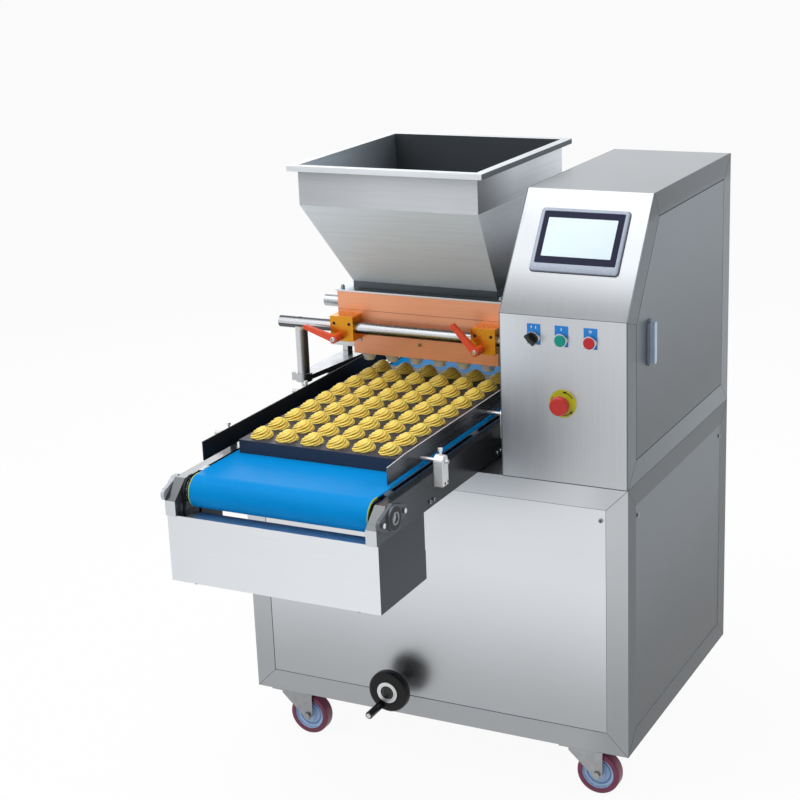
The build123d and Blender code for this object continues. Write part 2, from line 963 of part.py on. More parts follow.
def sprocket_wheel(y, z):
    wheel = rod("x", *sprocket_x(), y, z, sprocket_r)
    for i in range(sprocket_n):
        turn = 2 * pi * i / sprocket_n
        notch = (y + sprocket_r * cos(turn), z + sprocket_r * sin(turn))
        wheel -= rod("x", *sprocket_x(), *notch, sprocket_notch_r)
    return wheel


def flange_bearings():
    """Oval two bolt bearing on the outer face of each side plate, one at each end of each roller."""
    bearings = []
    half = bearing_len / 2
    end_r = half - bearing_bolt_span / 2
    for y in (roller_front, roller_rear):
        for face, way in ((conv_x0, -1), (conv_x1, 1)):
            flange = sorted((face, face + way * bearing_flange_t))
            boss = sorted((face, face + way * bearing_depth))
            oval = [
                (y - half + end_r, roller_z - end_r),
                (y, roller_z - bearing_w / 2),
                (y + half - end_r, roller_z - end_r),
                (y + half - end_r, roller_z + end_r),
                (y, roller_z + bearing_w / 2),
                (y - half + end_r, roller_z + end_r),
            ]
            piece = prism("x", oval, *flange) + rod("x", *boss, y, roller_z, bearing_boss_r)
            for dy in (-bearing_bolt_span / 2, bearing_bolt_span / 2):
                piece += rod("x", *flange, y + dy, roller_z, end_r)
                head = (face + way * bearing_flange_t, face + way * (bearing_flange_t + bearing_bolt_h))
                piece += hex_prism("x", *sorted(head), y + dy, roller_z, bearing_bolt_r)
            piece -= rod("x", *boss, y, roller_z, roller_shaft_r + run_fit)
            bearings.append(piece)
    return bearings


def guard_limits():
    y0 = conv_y0 + guard_set
    return (conv_x0, conv_x1), (y0, y0 + guard_d), (side_z0 - guard_h, side_z0)


def drive_guard():
    """Box under the nose of the table, with a low back and a lip turned in over the drive."""
    x, y, z = guard_limits()
    floor = block(x, y, (z[0], z[0] + sheet))
    up = (z[0] + sheet, z[1])
    front = block(x, (y[0], y[0] + sheet), up)
    back = block(x, (y[1] - sheet, y[1]), (up[0], up[0] + guard_back_h))
    between = (y[0] + sheet, y[1] - sheet)
    left_wall = block((x[0], x[0] + sheet), between, up)
    right_wall = block((x[1] - sheet, x[1]), between, up)
    lip = block((belt_x0, x[1] - sheet), (y[0] + sheet, y[0] + guard_lip), (z[1] - sheet, z[1]))
    bolts = []
    for face, way in ((x[0], 1), (x[1], -1)):
        for bx, by in (
            (face + way * guard_bolt_front, y[0] + guard_bolt_in),
            (face + way * guard_bolt_in, y[1] - guard_bolt_side),
        ):
            bolts.append(hex_prism("z", z[0] - guard_bolt_h, z[0], bx, by, guard_bolt_r))
    return [floor, front, back, left_wall, right_wall, lip] + bolts


def drive_axis():
    """Place of the motor's output shaft in the guard."""
    x, y, z = guard_limits()
    return roller_front - 2 * chain_t, z[1] - motor_drop


def conveyor_motor():
    x, y, z = guard_limits()
    shaft_y, shaft_z = drive_axis()
    floor = z[0] + sheet
    case_x = (belt_x0, belt_x0 + gearcase_len)
    half = gearcase_w / 2
    case_y = (shaft_y - half / 2, shaft_y - half / 2 + gearcase_w)
    middle = (case_y[0] + case_y[1]) / 2
    case = block(case_x, case_y, (floor, shaft_z + half))
    motor = rod("x", case_x[1], case_x[1] + motor_len, middle, shaft_z, motor_r)
    bore = (case_x[0], case_x[0] + motor_shaft_len)
    bored = case + motor - rod("x", *bore, shaft_y, shaft_z, motor_shaft_r + run_fit)
    bolts = []
    for bx in (case_x[0] + 2 * motor_bolt_r, case_x[1] - 2 * motor_bolt_r):
        for by in (case_y[0] + 2 * motor_bolt_r, case_y[1] - 2 * motor_bolt_r):
            bolts.append(hex_prism("z", z[0] - motor_bolt_h, z[0], bx, by, motor_bolt_r))
    return [bored] + bolts


def motor_sprocket():
    y, z = drive_axis()
    shaft_x = (sprocket_x()[0], belt_x0 + motor_shaft_len - seat_gap)
    return sprocket_wheel(y, z) + rod("x", *shaft_x, y, z, motor_shaft_r)


def drive_chain():
    """Band round both sprockets."""
    low_y, low_z = drive_axis()
    high_y, high_z = roller_front, roller_z
    middle = sum(sprocket_x()) / 2
    x = (middle - chain_w / 2, middle + chain_w / 2)
    inner = sprocket_r + seat_gap

    def loop(radius, span):
        way = hypot(high_y - low_y, high_z - low_z)
        across = ((high_z - low_z) / way * radius, -(high_y - low_y) / way * radius)
        belt_shape = prism(
            "x",
            [
                (low_y - across[0], low_z - across[1]),
                (low_y + across[0], low_z + across[1]),
                (high_y + across[0], high_z + across[1]),
                (high_y - across[0], high_z - across[1]),
            ],
            *span,
        )
        return belt_shape + rod("x", *span, low_y, low_z, radius) + rod("x", *span, high_y, high_z, radius)

    return loop(inner + chain_t, x) - loop(inner, x)


# Tray guides


def guide_post_places():
    pitch = (conv_len - guide_post_set - guide_post_rear_set) / (guide_post_n - 1)
    return [conv_y0 + guide_post_set + i * pitch for i in range(guide_post_n)]


def guide_rod_z():
    return side_z1 + guide_rod_up


def guide_posts():
    """Round topped posts on the side plates, bored for the guide rods, with thumb and fixing screws."""
    pieces = []
    z0, axis_z = side_z1 - guide_post_seat, guide_rod_z()
    half = guide_post_w / 2
    for face, way in ((conv_x0, -1), (conv_x1, 1)):
        x = sorted((face, face + way * guide_post_t))
        for y in guide_post_places():
            post = block(x, (y - half, y + half), (z0, axis_z)) + rod("x", *x, y, axis_z, half)
            middle = (x[0] + x[1]) / 2
            top = axis_z + half
            post += rod("z", axis_z + guide_rod_r + seat_gap, top + thumb_h, middle, y, thumb_r)
            post += rod("z", top + thumb_h, top + thumb_h + thumb_head_h, middle, y, thumb_head_r)
            head = sorted((face + way * guide_post_t, face + way * (guide_post_t + screw_head_h)))
            for dy in (-half / 2, half / 2):
                post += rod("x", *head, y + dy, z0 + half / 2, post_screw_r)
            pieces.append(post - rod("x", x[0], x[1], y, axis_z, guide_rod_r + run_fit))
    return pieces


def tray_guide(outer, way, nose_h):
    """Guide strip and its rods: its outer face, the way out from the belt and the height of its ends."""
    z0 = belt_top + guide_lift
    z1 = z0 + guide_h
    y0, y1 = conv_y0 + guide_set, conv_y1 - guide_set
    outline = [(y0, z0), (y1, z0), (y1, z0 + nose_h)]
    if nose_h < guide_h:
        outline += [(y1 - guide_nose_run, z1), (y0 + guide_nose_run, z1)]
    outline.append((y0, z0 + nose_h))
    strip = prism("x", outline, *sorted((outer, outer - way * guide_t)))
    for y in guide_post_places():
        strip += rod("x", *sorted((outer, outer + way * guide_rod_len)), y, guide_rod_z(), guide_rod_r)
    return strip


# Tray and dough


def tray():
    half = tray_w / 2
    outer = block((line_x - half, line_x + half), (tray_y0, tray_y1), (belt_top, tray_top))
    inner = block(
        (line_x - half + tray_wall, line_x + half - tray_wall),
        (tray_y0 + tray_wall, tray_y1 - tray_wall),
        (belt_top, tray_top - tray_wall),
    )
    return outer - inner


def dough():
    """Rows of piped dough, each a turned shape of three stacked coils with a peak."""
    outline = [
        (0, 0),
        (dough_r, 0),
        (dough_r, dough_h * 0.2),
        (dough_r * 0.9, dough_h * 0.36),
        (dough_r * 0.74, dough_h * 0.42),
        (dough_r * 0.66, dough_h * 0.6),
        (dough_r * 0.46, dough_h * 0.68),
        (dough_r * 0.38, dough_h * 0.82),
        (dough_r * 0.16, dough_h * 0.92),
        (0, dough_h),
    ]
    pieces = []
    first_y = tray_y0 + tray_margin
    for row in range(dough_rows):
        for column in range(dough_cols):
            x = line_x + (column - (dough_cols - 1) / 2) * dough_pitch_x
            pieces.append(turned(outline, "z", (x, first_y + row * dough_pitch_y, tray_top)))
    return pieces


# Lift of the table


def lift_places():
    """Places in plan of the columns, under the middle of the side plates."""
    return [(x, y) for x in (conv_x0 + side_t / 2, conv_x1 - side_t / 2) for y in (lift_front, lift_rear)]


def lift_bushes():
    z = (cab_h - sheet - lift_bush_h, cab_h - sheet)
    places = lift_places()
    return [rod("z", *z, x, y, lift_bush_r) - rod("z", *z, x, y, column_r + run_fit) for x, y in places]


def lift_frame():
    """Columns down from the side plates, two beams that join them and a bridge with the lead nut."""
    pieces = []
    half = lift_beam_w / 2
    for y in (lift_front, lift_rear):
        pieces += square_tube("x", (conv_x0, conv_x1), (y - half, y + half), (lift_z0, lift_z1))
    x = (wheel_axis_x - nut_plate_w / 2, wheel_axis_x + nut_plate_w / 2)
    bridge = block(x, (lift_front + half, lift_rear - half), (nut_plate_z, nut_plate_z + nut_plate_t))
    bridge += rod("z", nut_plate_z - nut_len, nut_plate_z, wheel_axis_x, jack_y, nut_r)
    bore = (nut_plate_z - nut_len, nut_plate_z + nut_plate_t)
    pieces.append(bridge - rod("z", *bore, wheel_axis_x, jack_y, screw_r + run_fit))
    pieces += [rod("z", lift_z1, side_z0, x, y, column_r) for x, y in lift_places()]
    return pieces


def lead_screw():
    z = wheel_axis_up
    top = nut_plate_z + nut_plate_t + screw_over
    house_top = z + gearbox_w / 2
    screw = rod("z", z + mitre_in, top, wheel_axis_x, jack_y, screw_r)
    screw += rod("z", house_top + seat_gap, house_top + seat_gap + thrust_h, wheel_axis_x, jack_y, thrust_r)
    return screw + turned(mitre_cone(1), "z", (wheel_axis_x, jack_y, z))


def mitre_cone(way):
    """Outline of a plain mitre gear; way is the side of the crossing point it lies on."""
    small, large = mitre_in - mitre_gap, mitre_out - mitre_gap
    return [(0, way * mitre_in), (small, way * mitre_in), (large, way * mitre_out), (0, way * mitre_out)]


def handwheel_shaft():
    x, z = wheel_axis_x, wheel_axis_up
    start = -wheel_face_out + handwheel_t + handwheel_hub_len
    shaft = rod("y", start, jack_y - mitre_in, x, z, hand_shaft_r)
    return shaft + turned(mitre_cone(-1), "y", (x, jack_y, z))


def jack_gearbox():
    """Mitre gearbox on its foot, bearing boss of the handwheel shaft and bushes of the columns."""
    x, z = wheel_axis_x, wheel_axis_up
    half = gearbox_w / 2
    inner = half - gearbox_wall
    case = block((x - half, x + half), (jack_y - half, jack_y + half), (z - half, z + half))
    case -= block((x - inner, x + inner), (jack_y - inner, jack_y + inner), (z - inner, z + inner))
    case -= rod("y", jack_y - half, jack_y, x, z, hand_shaft_r + run_fit)
    case -= rod("z", z, z + half, x, jack_y, screw_r + run_fit)
    foot = block((x - inner, x + inner), (jack_y - inner, jack_y + inner), (tube + sheet, z - half))
    boss = rod("y", -hub_boss_len, panel_recess, x, z, hub_boss_r)
    boss += rod("y", panel_recess, panel_recess + boss_neck_len, x, z, boss_neck_r - run_fit)
    boss -= rod("y", -hub_boss_len, panel_recess + boss_neck_len, x, z, hand_shaft_r + run_fit)
    return [case + foot, boss] + lift_bushes()


def handwheel():
    """Solid wheel with a hub behind it, a raised ring on its face and the pin of the crank grip."""
    x, z = wheel_axis_x, wheel_axis_up
    face = -wheel_face_out
    wheel = rod("y", face, face + handwheel_t, x, z, handwheel_r)
    wheel = fillet(wheel.edges().filter_by(GeomType.CIRCLE), handwheel_round)
    wheel += rod("y", face + handwheel_t, face + handwheel_t + handwheel_hub_len, x, z, handwheel_hub_r)
    pin_top = face - seat_gap - grip_len
    wheel += rod("y", pin_top, face + handwheel_t / 2, x + grip_at_x, z + grip_at_z, grip_pin_r)
    ring_y = (face - handwheel_ring_t, face)
    ring = rod("y", *ring_y, x, z, handwheel_ring_r)
    return wheel, ring - rod("y", *ring_y, x, z, handwheel_ring_bore)


def crank_grip():
    x, z = wheel_axis_x + grip_at_x, wheel_axis_up + grip_at_z
    face = -wheel_face_out - seat_gap
    grip = rod("y", face - grip_len, face, x, z, grip_r)
    grip = fillet(grip.edges().filter_by(GeomType.CIRCLE), grip_round)
    return grip - rod("y", face - grip_len, face, x, z, grip_pin_r + run_fit)


# Dough head


def feed_axes():
    return (head_y - feed_centres / 2, head_y + feed_centres / 2)


def head_block():
    """Two rings of four plates, split on the roller axes, and the manifold with a way to each nozzle."""
    x = (head_x0, head_x1)
    cavity = (head_y - cavity_y, head_y + cavity_y)
    plates = []
    for z in ((join_z, block_top), (block_z, join_z)):
        plates.append(block(x, (head_front, cavity[0]), z))
        plates.append(block(x, (cavity[1], head_back), z))
        for end in ((x[0], line_x - cavity_x), (line_x + cavity_x, x[1])):
            plate = block(end, cavity, z)
            for axis_y in feed_axes():
                plate -= rod("x", *end, axis_y, join_z, feed_shaft_r + run_fit)
            plates.append(plate)
    low_x = (head_x0 + manifold_left_in, head_x1 - manifold_right_in)
    manifold = block(low_x, (head_front, head_back), (manifold_z, block_z))
    for nozzle_x in nozzle_places():
        way = prism(
            "x",
            [
                (head_y - nozzle_bore_r, block_z),
                (head_y + nozzle_bore_r, block_z),
                (nozzle_y + nozzle_bore_r, manifold_z),
                (nozzle_y - nozzle_bore_r, manifold_z),
            ],
            nozzle_x - nozzle_bore_r,
            nozzle_x + nozzle_bore_r,
        )
        manifold -= way
    return plates + [manifold]


def nozzle_places():
    return [line_x + (i - (dough_cols - 1) / 2) * dough_pitch_x for i in range(dough_cols)]


def nozzles():
    outline = [
        (nozzle_bore_r * 2**0.5, 0),
        (nozzle_top_r, 0),
        (nozzle_top_r, -nozzle_rim_h),
        (nozzle_tip_r, -nozzle_h),
        (nozzle_bore_r, -nozzle_h),
    ]
    return [turned(outline, "z", (x, nozzle_y, manifold_z)) for x in nozzle_places()]


def head_plate():
    """Flange under the hopper, four strips welded into a frame."""
    outer = rectangle(head_w / 2 + head_plate_over, head_d / 2 + head_plate_over)
    inner = rectangle(cavity_x, cavity_y)
    strips = []
    for i in range(4):
        j = (i + 1) % 4
        strips.append(prism("z", [outer[i], outer[j], inner[j], inner[i]], block_top, head_top))
    return strips


def head_fasteners():
    """Acorn nuts on the head plate, screws of the manifold and socket screws of the clamps."""
    pieces = []
    for y in (head_front + acorn_in, head_back - acorn_in):
        for x in (head_x0 + acorn_in, head_x1 - acorn_in):
            nut = hex_prism("z", head_top, head_top + acorn_h, x, y, acorn_r)
            pieces.append(nut + Pos(x, y, head_top + acorn_h) * Sphere(acorn_r * 0.8))
    for x in (head_x0 + manifold_screw_in, line_x, head_x1 - manifold_screw_in):
        z = block_z - manifold_screw_down
        pieces.append(rod("y", head_front - manifold_screw_h, head_front, x, z, manifold_screw_r))
    front = head_front - clamp_d
    for x in clamp_places():
        for dx in (-clamp_screw_span / 2, clamp_screw_span / 2):
            z = cross_z + clamp_screw_up
            screw = rod("y", front, front + clamp_screw_deep, x + dx, z, clamp_screw_r)
            socket = (front, front + clamp_screw_deep / 2)
            pieces.append(screw - hex_prism("y", *socket, x + dx, z, clamp_screw_r / 2))
    return pieces


def feed_roller(axis_y, turn, right_end):
    """Fluted roller with its shaft and the gear in the control box."""
    roller = rod("x", line_x - feed_len / 2, line_x + feed_len / 2, axis_y, join_z, feed_r)
    for i in range(feed_flutes):
        angle = 2 * pi * i / feed_flutes
        flute = (axis_y + feed_r * cos(angle), join_z + feed_r * sin(angle))
        roller -= rod("x", line_x - feed_len / 2, line_x + feed_len / 2, *flute, flute_r)
    shaft = rod("x", head_x0 - feed_stub, right_end, axis_y, join_z, feed_shaft_r)
    return roller + shaft + feed_gear(axis_y, turn)


def feed_gear(axis_y, turn):
    pitch_r = feed_centres / 2
    step = 2 * pi / gear_teeth
    outline = []
    for i in range(gear_teeth):
        for share, depth in (
            (-tooth_root, -gear_ded),
            (-tooth_tip, gear_add),
            (tooth_tip, gear_add),
            (tooth_root, -gear_ded),
        ):
            angle = (i + share + turn) * step
            radius = pitch_r + depth
            outline.append((axis_y + radius * cos(angle), join_z + radius * sin(angle)))
    low = box_left + sheet + gear_wall_gap
    return prism("x", outline, low, low + gear_w)


def reducer_x():
    low = box_left + sheet + gear_wall_gap + gear_w + reducer_gap
    return low, low + reducer_len


def drive_housing():
    """Housing that bridges the head and the control box, and the wall flange of the cross shaft."""
    x = (head_x1, box_left)
    half = drive_house_d / 2
    z = (join_z - drive_house_h / 2, join_z + drive_house_h / 2 - head_plate_over)
    wall = drive_house_wall
    house = block(x, (head_y - half, head_y + half), z)
    house -= block(x, (head_y - half + wall, head_y + half - wall), (z[0] + wall, z[1] - wall))
    flange_x = (box_left - cross_flange_t, box_left)
    flange = rod("x", *flange_x, cross_y, cross_z, cross_flange_r)
    return house, flange - rod("x", *flange_x, cross_y, cross_z, cross_r + run_fit)


def feed_motor():
    axis_y = feed_axes()[0]
    x0, x1 = reducer_x()
    half = reducer_w / 2
    case = block((x0, x1), (axis_y - half, axis_y + half), (join_z - half, join_z + half))
    case -= rod("x", x0, x1 - reducer_cover, axis_y, join_z, feed_shaft_r + run_fit)
    motor_half = feed_motor_w / 2
    motor = block((x1, x1 + feed_motor_len), (axis_y - motor_half, axis_y + motor_half),
                  (join_z - motor_half, join_z + motor_half))
    motor = fillet(motor.edges().filter_by(Axis.X), feed_motor_round)
    shelf = block((box_left + sheet, x1), (axis_y - half, axis_y + half),
                  (join_z - half - motor_shelf_t, join_z - half))
    return case + motor, shelf


# Hopper


def hopper():
    """Welded plates: neck, cone and upright walls, four each, with a turned rim of strips."""
    half_w = head_w / 2 + hopper_over
    levels = [
        (head_top, cavity_x + hopper_wall, cavity_y + hopper_wall),
        (head_top + neck_h, cavity_x + hopper_wall, cavity_y + hopper_wall),
        (head_top + neck_h + cone_h, half_w, hopper_d / 2),
        (head_top + neck_h + cone_h + straight_h, half_w, hopper_d / 2),
    ]
    plates = []
    for low, high in zip(levels, levels[1:]):
        for i in range(4):
            wires = [wall_section(level, i) for level in (low, high)]
            plates.append(Solid.make_loft(wires, ruled=True))
    top, half_x, half_y = levels[-1]
    outer = rectangle(half_x + rim_w, half_y + rim_w)
    plates += mitred("z", outer, rim_w, top - hopper_wall, top)
    plates += mitred("z", outer, hopper_wall, top - rim_h, top - hopper_wall)
    return plates


def rectangle(half_x, half_y):
    corners = ((-1, -1), (1, -1), (1, 1), (-1, 1))
    return [(line_x + sx * half_x, head_y + sy * half_y) for sx, sy in corners]


def wall_section(level, i):
    """Cut through one hopper wall at a level, mitred at both ends."""
    z, half_x, half_y = level
    outer = rectangle(half_x, half_y)
    inner = rectangle(half_x - hopper_wall, half_y - hopper_wall)
    j = (i + 1) % 4
    points = (outer[i], outer[j], inner[j], inner[i])
    return Wire.make_polygon([(x, y, z) for x, y in points], close=True)


# Clamps, cross shaft and posts


def clamp_places():
    return (line_x - clamp_span / 2, line_x + clamp_span / 2)


def clamp_blocks():
    blocks = []
    y = (head_front - clamp_d, head_front)
    for x in clamp_places():
        piece = block((x - clamp_w / 2, x + clamp_w / 2), y, (cross_z - clamp_h / 2, cross_z + clamp_h / 2))
        piece = fillet(piece.edges().filter_by(Axis.Y), clamp_round)
        piece -= rod("x", x - clamp_w / 2, x + clamp_w / 2, cross_y, cross_z, cross_r + run_fit)
        stud = (y[0], y[0] + lever_stud_len)
        piece -= rod("y", *stud, x - lever_in, cross_z - lever_drop, lever_stud_r + run_fit)
        for dx in (-clamp_screw_span / 2, clamp_screw_span / 2):
            hole = (y[0], y[0] + clamp_screw_deep)
            piece -= rod("y", *hole, x + dx, cross_z + clamp_screw_up, clamp_screw_r)
        blocks.append(piece)
    return blocks


def clamp_lever(x, turn):
    """Hub with its stud and a tapered arm, turned about the hub from pointing right."""
    axis_x, axis_z = x - lever_in, cross_z - lever_drop
    face = head_front - clamp_d - seat_gap
    lever = rod("y", face - lever_hub_len, face, axis_x, axis_z, lever_hub_r)
    lever += rod("y", face - lever_hub_len, face + lever_stud_len, axis_x, axis_z, lever_stud_r)
    reach = lever_len - lever_tip_w / 2
    outline = [
        (0, -lever_root_w / 2),
        (reach, -lever_tip_w / 2),
        (reach, lever_tip_w / 2),
        (0, lever_root_w / 2),
    ]
    arm_y = (-lever_hub_len, -lever_hub_len + lever_t)
    arm = prism("y", outline, *arm_y) + rod("y", *arm_y, reach, 0, lever_tip_w / 2)
    return lever + Pos(axis_x, face, axis_z) * Rot(0, -turn, 0) * arm


def chrome_bars():
    """Cross shaft, front post hanging from it on a stud with a foot, rear post with nuts and a bar."""
    shaft = rod("x", left + cross_left_in, box_left, cross_y, cross_z, cross_r)
    top = cross_z + cross_r
    shaft -= rod("z", top - set_hole_deep, top, front_post_x, cross_y, set_hole_r)
    eye_top = arm_z + (arm_t + arm_eye_h) / 2
    front = rod("z", eye_top, cross_z - cross_r / 2, front_post_x, cross_y, post_r)
    front += rod("z", cab_h, eye_top, front_post_x, cross_y, post_stud_r)
    front += rod("z", cab_h, cab_h + foot_h, front_post_x, cross_y, foot_r)
    front -= rod("x", front_post_x - post_r, front_post_x + post_r, cross_y, cross_z, cross_r)
    rear = rod("z", cab_h, arm_z, rear_post_x, rear_post_y, post_r)
    step = rear_nut_h + rear_nut_gap
    for i in range(2):
        low = arm_z + arm_t + i * step
        rear += hex_prism("z", low, low + rear_nut_h, rear_post_x, rear_post_y, rear_nut_r)
    bar_z = (arm_z + arm_t + 2 * step, arm_z + arm_t + 2 * step + rear_bar_t)
    rear += rod("z", cab_h, bar_z[1], rear_post_x, rear_post_y, rear_stud_r)
    bar_x = (rear_post_x - rear_bar_left, rear_post_x + rear_bar_right)
    bar_y = (rear_post_y - rear_bar_w / 2, rear_post_y + rear_bar_w / 2)
    return shaft, front, rear + block(bar_x, bar_y, bar_z)


def tie_arm():
    """Flat bar that widens from an eye on the front post's stud to the rear post."""
    dx, dy = rear_post_x - front_post_x, rear_post_y - cross_y
    length = hypot(dx, dy)
    ux, uy = dx / length, dy / length

    def across(x, y, half):
        return [(x - uy * half, y + ux * half), (x + uy * half, y - ux * half)]

    near = across(front_post_x, cross_y, arm_front_w / 2)
    far = across(rear_post_x + ux * arm_rear_w / 2, rear_post_y + uy * arm_rear_w / 2, arm_rear_w / 2)
    middle = arm_z + arm_t / 2
    eye = (middle - arm_eye_h / 2, middle + arm_eye_h / 2)
    arm = prism("z", [near[0], near[1], far[1], far[0]], arm_z, arm_z + arm_t)
    arm += rod("z", *eye, front_post_x, cross_y, arm_eye_r)
    lug_x = (front_post_x - arm_eye_r - arm_lug_len, front_post_x)
    arm += block(lug_x, (cross_y - arm_lug_w / 2, cross_y + arm_lug_w / 2), eye)
    arm -= rod("z", *eye, front_post_x, cross_y, post_stud_r + run_fit)
    return arm - rod("z", arm_z, arm_z + arm_t, rear_post_x, rear_post_y, rear_stud_r + run_fit)


def counter():
    """Small counter on a ring round the rear post, turned towards the front right."""
    low = cab_h + counter_up
    middle = low + counter_h / 2
    ring_z = (middle - counter_ring_h / 2, middle + counter_ring_h / 2)
    ring = rod("z", *ring_z, rear_post_x, rear_post_y, counter_ring_r)
    case = Box(counter_w, counter_d, counter_h)
    place = (rear_post_x + counter_off_x, rear_post_y + counter_off_y, middle)
    case = Pos(*place) * Rot(0, 0, counter_turn) * case
    neck = Pos(
        rear_post_x + counter_off_x / 2, rear_post_y + counter_off_y / 2, middle
    ) * Rot(0, 0, counter_turn) * Box(counter_d, counter_w, counter_ring_h)
    return ring + neck + case - rod("z", low, low + counter_h, rear_post_x, rear_post_y, post_r + run_fit)


# Write every node
os.makedirs("parts", exist_ok=True)

write("cabinet_frame", *cabinet_frame())
write("cabinet_panels", *cabinet_panels())
write("screws_and_nuts", *panel_screws(), *head_fasteners())
write("box_wrap", *box_wrap())
write("box_sides", *box_sides())
write("door", *door())
write("lock_handle", lock_handle())
write("hmi_case", hmi_case())
write("hmi_screen", hmi_screen())
write("legend_plates", *legend_plates())
write("button_collars", *button_collars())
write("selector_knob", selector_knob())
write("start_button", push_button(*switch_places()[1]))
write("stop_button", push_button(*switch_places()[2]))
write("estop_head", estop_head())
write("control_gear", *control_gear())

castors = ("front_right", "front_left", "rear_right", "rear_left")
write("castor_plates", *[castor_plate(x, y) for x, y in castor_places()])
for name, (castor_x, castor_y) in zip(castors, castor_places()):
    write(f"castor_fork_{name}", castor_fork(castor_x, castor_y))
    write(f"castor_wheel_{name}", castor_wheel(castor_x, castor_y))

write("conveyor_sides", *conveyor_sides())
write("belt", belt())
write("belt_bed", *belt_bed())
write("drive_roller", belt_roller(roller_front, True))
write("tail_roller", belt_roller(roller_rear, False))
write("flange_bearings", *flange_bearings())
write("drive_guard", *drive_guard())
write("conveyor_motor", *conveyor_motor())
write("motor_sprocket", motor_sprocket())
write("drive_chain", drive_chain())
write("guide_posts", *guide_posts())
write("guide_left", tray_guide(guide_left_x, -1, guide_h))
write("guide_right", tray_guide(guide_right_x, 1, guide_nose_h))
write("tray", tray())
write("dough", *dough())
write("lift_frame", *lift_frame())
write("lead_screw", lead_screw())
write("jack_gearbox", *jack_gearbox())
write("handwheel_shaft", handwheel_shaft())
write("handwheel", *handwheel())
write("crank_grip", crank_grip())

write("head_block", *head_block())
write("nozzles", *nozzles())
write("head_plate", *head_plate())
write("feed_roller_front", feed_roller(feed_axes()[0], 0.0, reducer_x()[1] - reducer_cover - seat_gap))
write("feed_roller_rear", feed_roller(feed_axes()[1], 0.5, reducer_x()[0] - reducer_gap / 2))
write("drive_housing", *drive_housing())
write("feed_motor", *feed_motor())
write("hopper", *hopper())
write("clamp_blocks", *clamp_blocks())
write("clamp_lever_left", clamp_lever(clamp_places()[0], lever_left_turn))
write("clamp_lever_right", clamp_lever(clamp_places()[1], lever_right_turn))
write("chrome_bars", *chrome_bars())
write("tie_arm", tie_arm())
write("counter", counter())
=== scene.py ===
import math
import random

import bmesh
import bpy
from mathutils import Matrix, Vector


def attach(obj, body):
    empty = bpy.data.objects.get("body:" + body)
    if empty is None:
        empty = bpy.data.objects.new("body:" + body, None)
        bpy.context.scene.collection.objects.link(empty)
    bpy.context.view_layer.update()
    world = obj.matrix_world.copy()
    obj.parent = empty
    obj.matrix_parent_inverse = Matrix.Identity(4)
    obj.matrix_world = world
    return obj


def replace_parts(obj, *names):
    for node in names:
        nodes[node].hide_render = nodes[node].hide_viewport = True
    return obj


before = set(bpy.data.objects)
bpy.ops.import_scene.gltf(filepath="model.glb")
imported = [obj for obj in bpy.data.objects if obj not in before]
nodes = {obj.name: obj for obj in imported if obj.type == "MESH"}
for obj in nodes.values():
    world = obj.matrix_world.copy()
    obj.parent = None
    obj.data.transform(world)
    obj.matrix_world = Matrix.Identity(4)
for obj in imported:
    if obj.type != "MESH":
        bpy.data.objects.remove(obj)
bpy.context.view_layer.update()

scene = bpy.context.scene

# The drawing's frame, in millimetres: X = 0 at the cabinet's right side, Y = 0 at its front, Z = 0 at its
# underside. SHIFT takes it to the row frame.
SHIFT = Vector((471.85, -246.5, 125.0))
X, Y, Z = 0, 1, 2

# Cabinet: outer sizes, width of its tubes, how far its panels stand in, and the panel screws' distances from
# the side tubes, from the upper tube and out of the face
CABINET_W, CABINET_D, CABINET_H, TUBE = 960, 710, 630, 50
PANEL_IN = 1
PANEL_SCREW_IN, PANEL_SCREW_DOWN, PANEL_SCREW_H = 12, 26, 1.5

# Control box: width, top, foot and run of the slope, and the inner corners of its side frame
BOX_W, BOX_TOP = 290, 1237
SLOPE_FOOT, SLOPE_RUN = 997.0, 169.0
SLOPE = math.atan2(BOX_TOP - SLOPE_FOOT, SLOPE_RUN)
FRAME_CORNERS = [(52, 682), (658, 682), (658, 1185), (196, 1185), (52, 980.5)]

# Touch screen on the slope, as left, right, lower and upper edge
SCREEN_CASE = (-242.5, -42.5, 100.0, 247.0)
SCREEN_BORDER = (-234.2, -51.2, 118.2, 239.2)
SCREEN_FACE = (-222.5, -65.5, 135.0, 224.5)

# Switches on the front: heights, places across, and how far forward their faces and marks are
SWITCH_Z, SELECTOR_X, START_X, STOP_X = 949.0, -210, -147, -82
ESTOP_X, ESTOP_Z = -146.0, 809.0
PLATE_FACE, MARK_FACE = -0.9, -1.25
KNOB_FACE, KNOB_MARK, CAP_FACE, ESTOP_FACE = -25.9, -26.25, -12, -15.8

# Lock on the door, each as y from, y to, z from and z to
LOCK_BODY = (119, 139, 875, 973)
LOCK_KEY = (125.0, 133.0, 898, 912)
LOCK_RIDGE = (123.5, 134.5, 918, 966)

# Head block: left and right end, front, back and the height of its split; the manifold's ends and top
HEAD_LEFT, HEAD_RIGHT, HEAD_FRONT, HEAD_BACK = -810, -380, 225, 431
HEAD_JOINT = 913
MANIFOLD_LEFT, MANIFOLD_RIGHT, MANIFOLD_JOINT = -771, -395, 855

# Clamping levers: places across, and their screws, which sit a little further left
LEVER_X = {"left": -778, "right": -412}
LEVER_SCREW_LEFT, LEVER_SCREW_Y, LEVER_SCREW_Z = 8, 149.7, 857

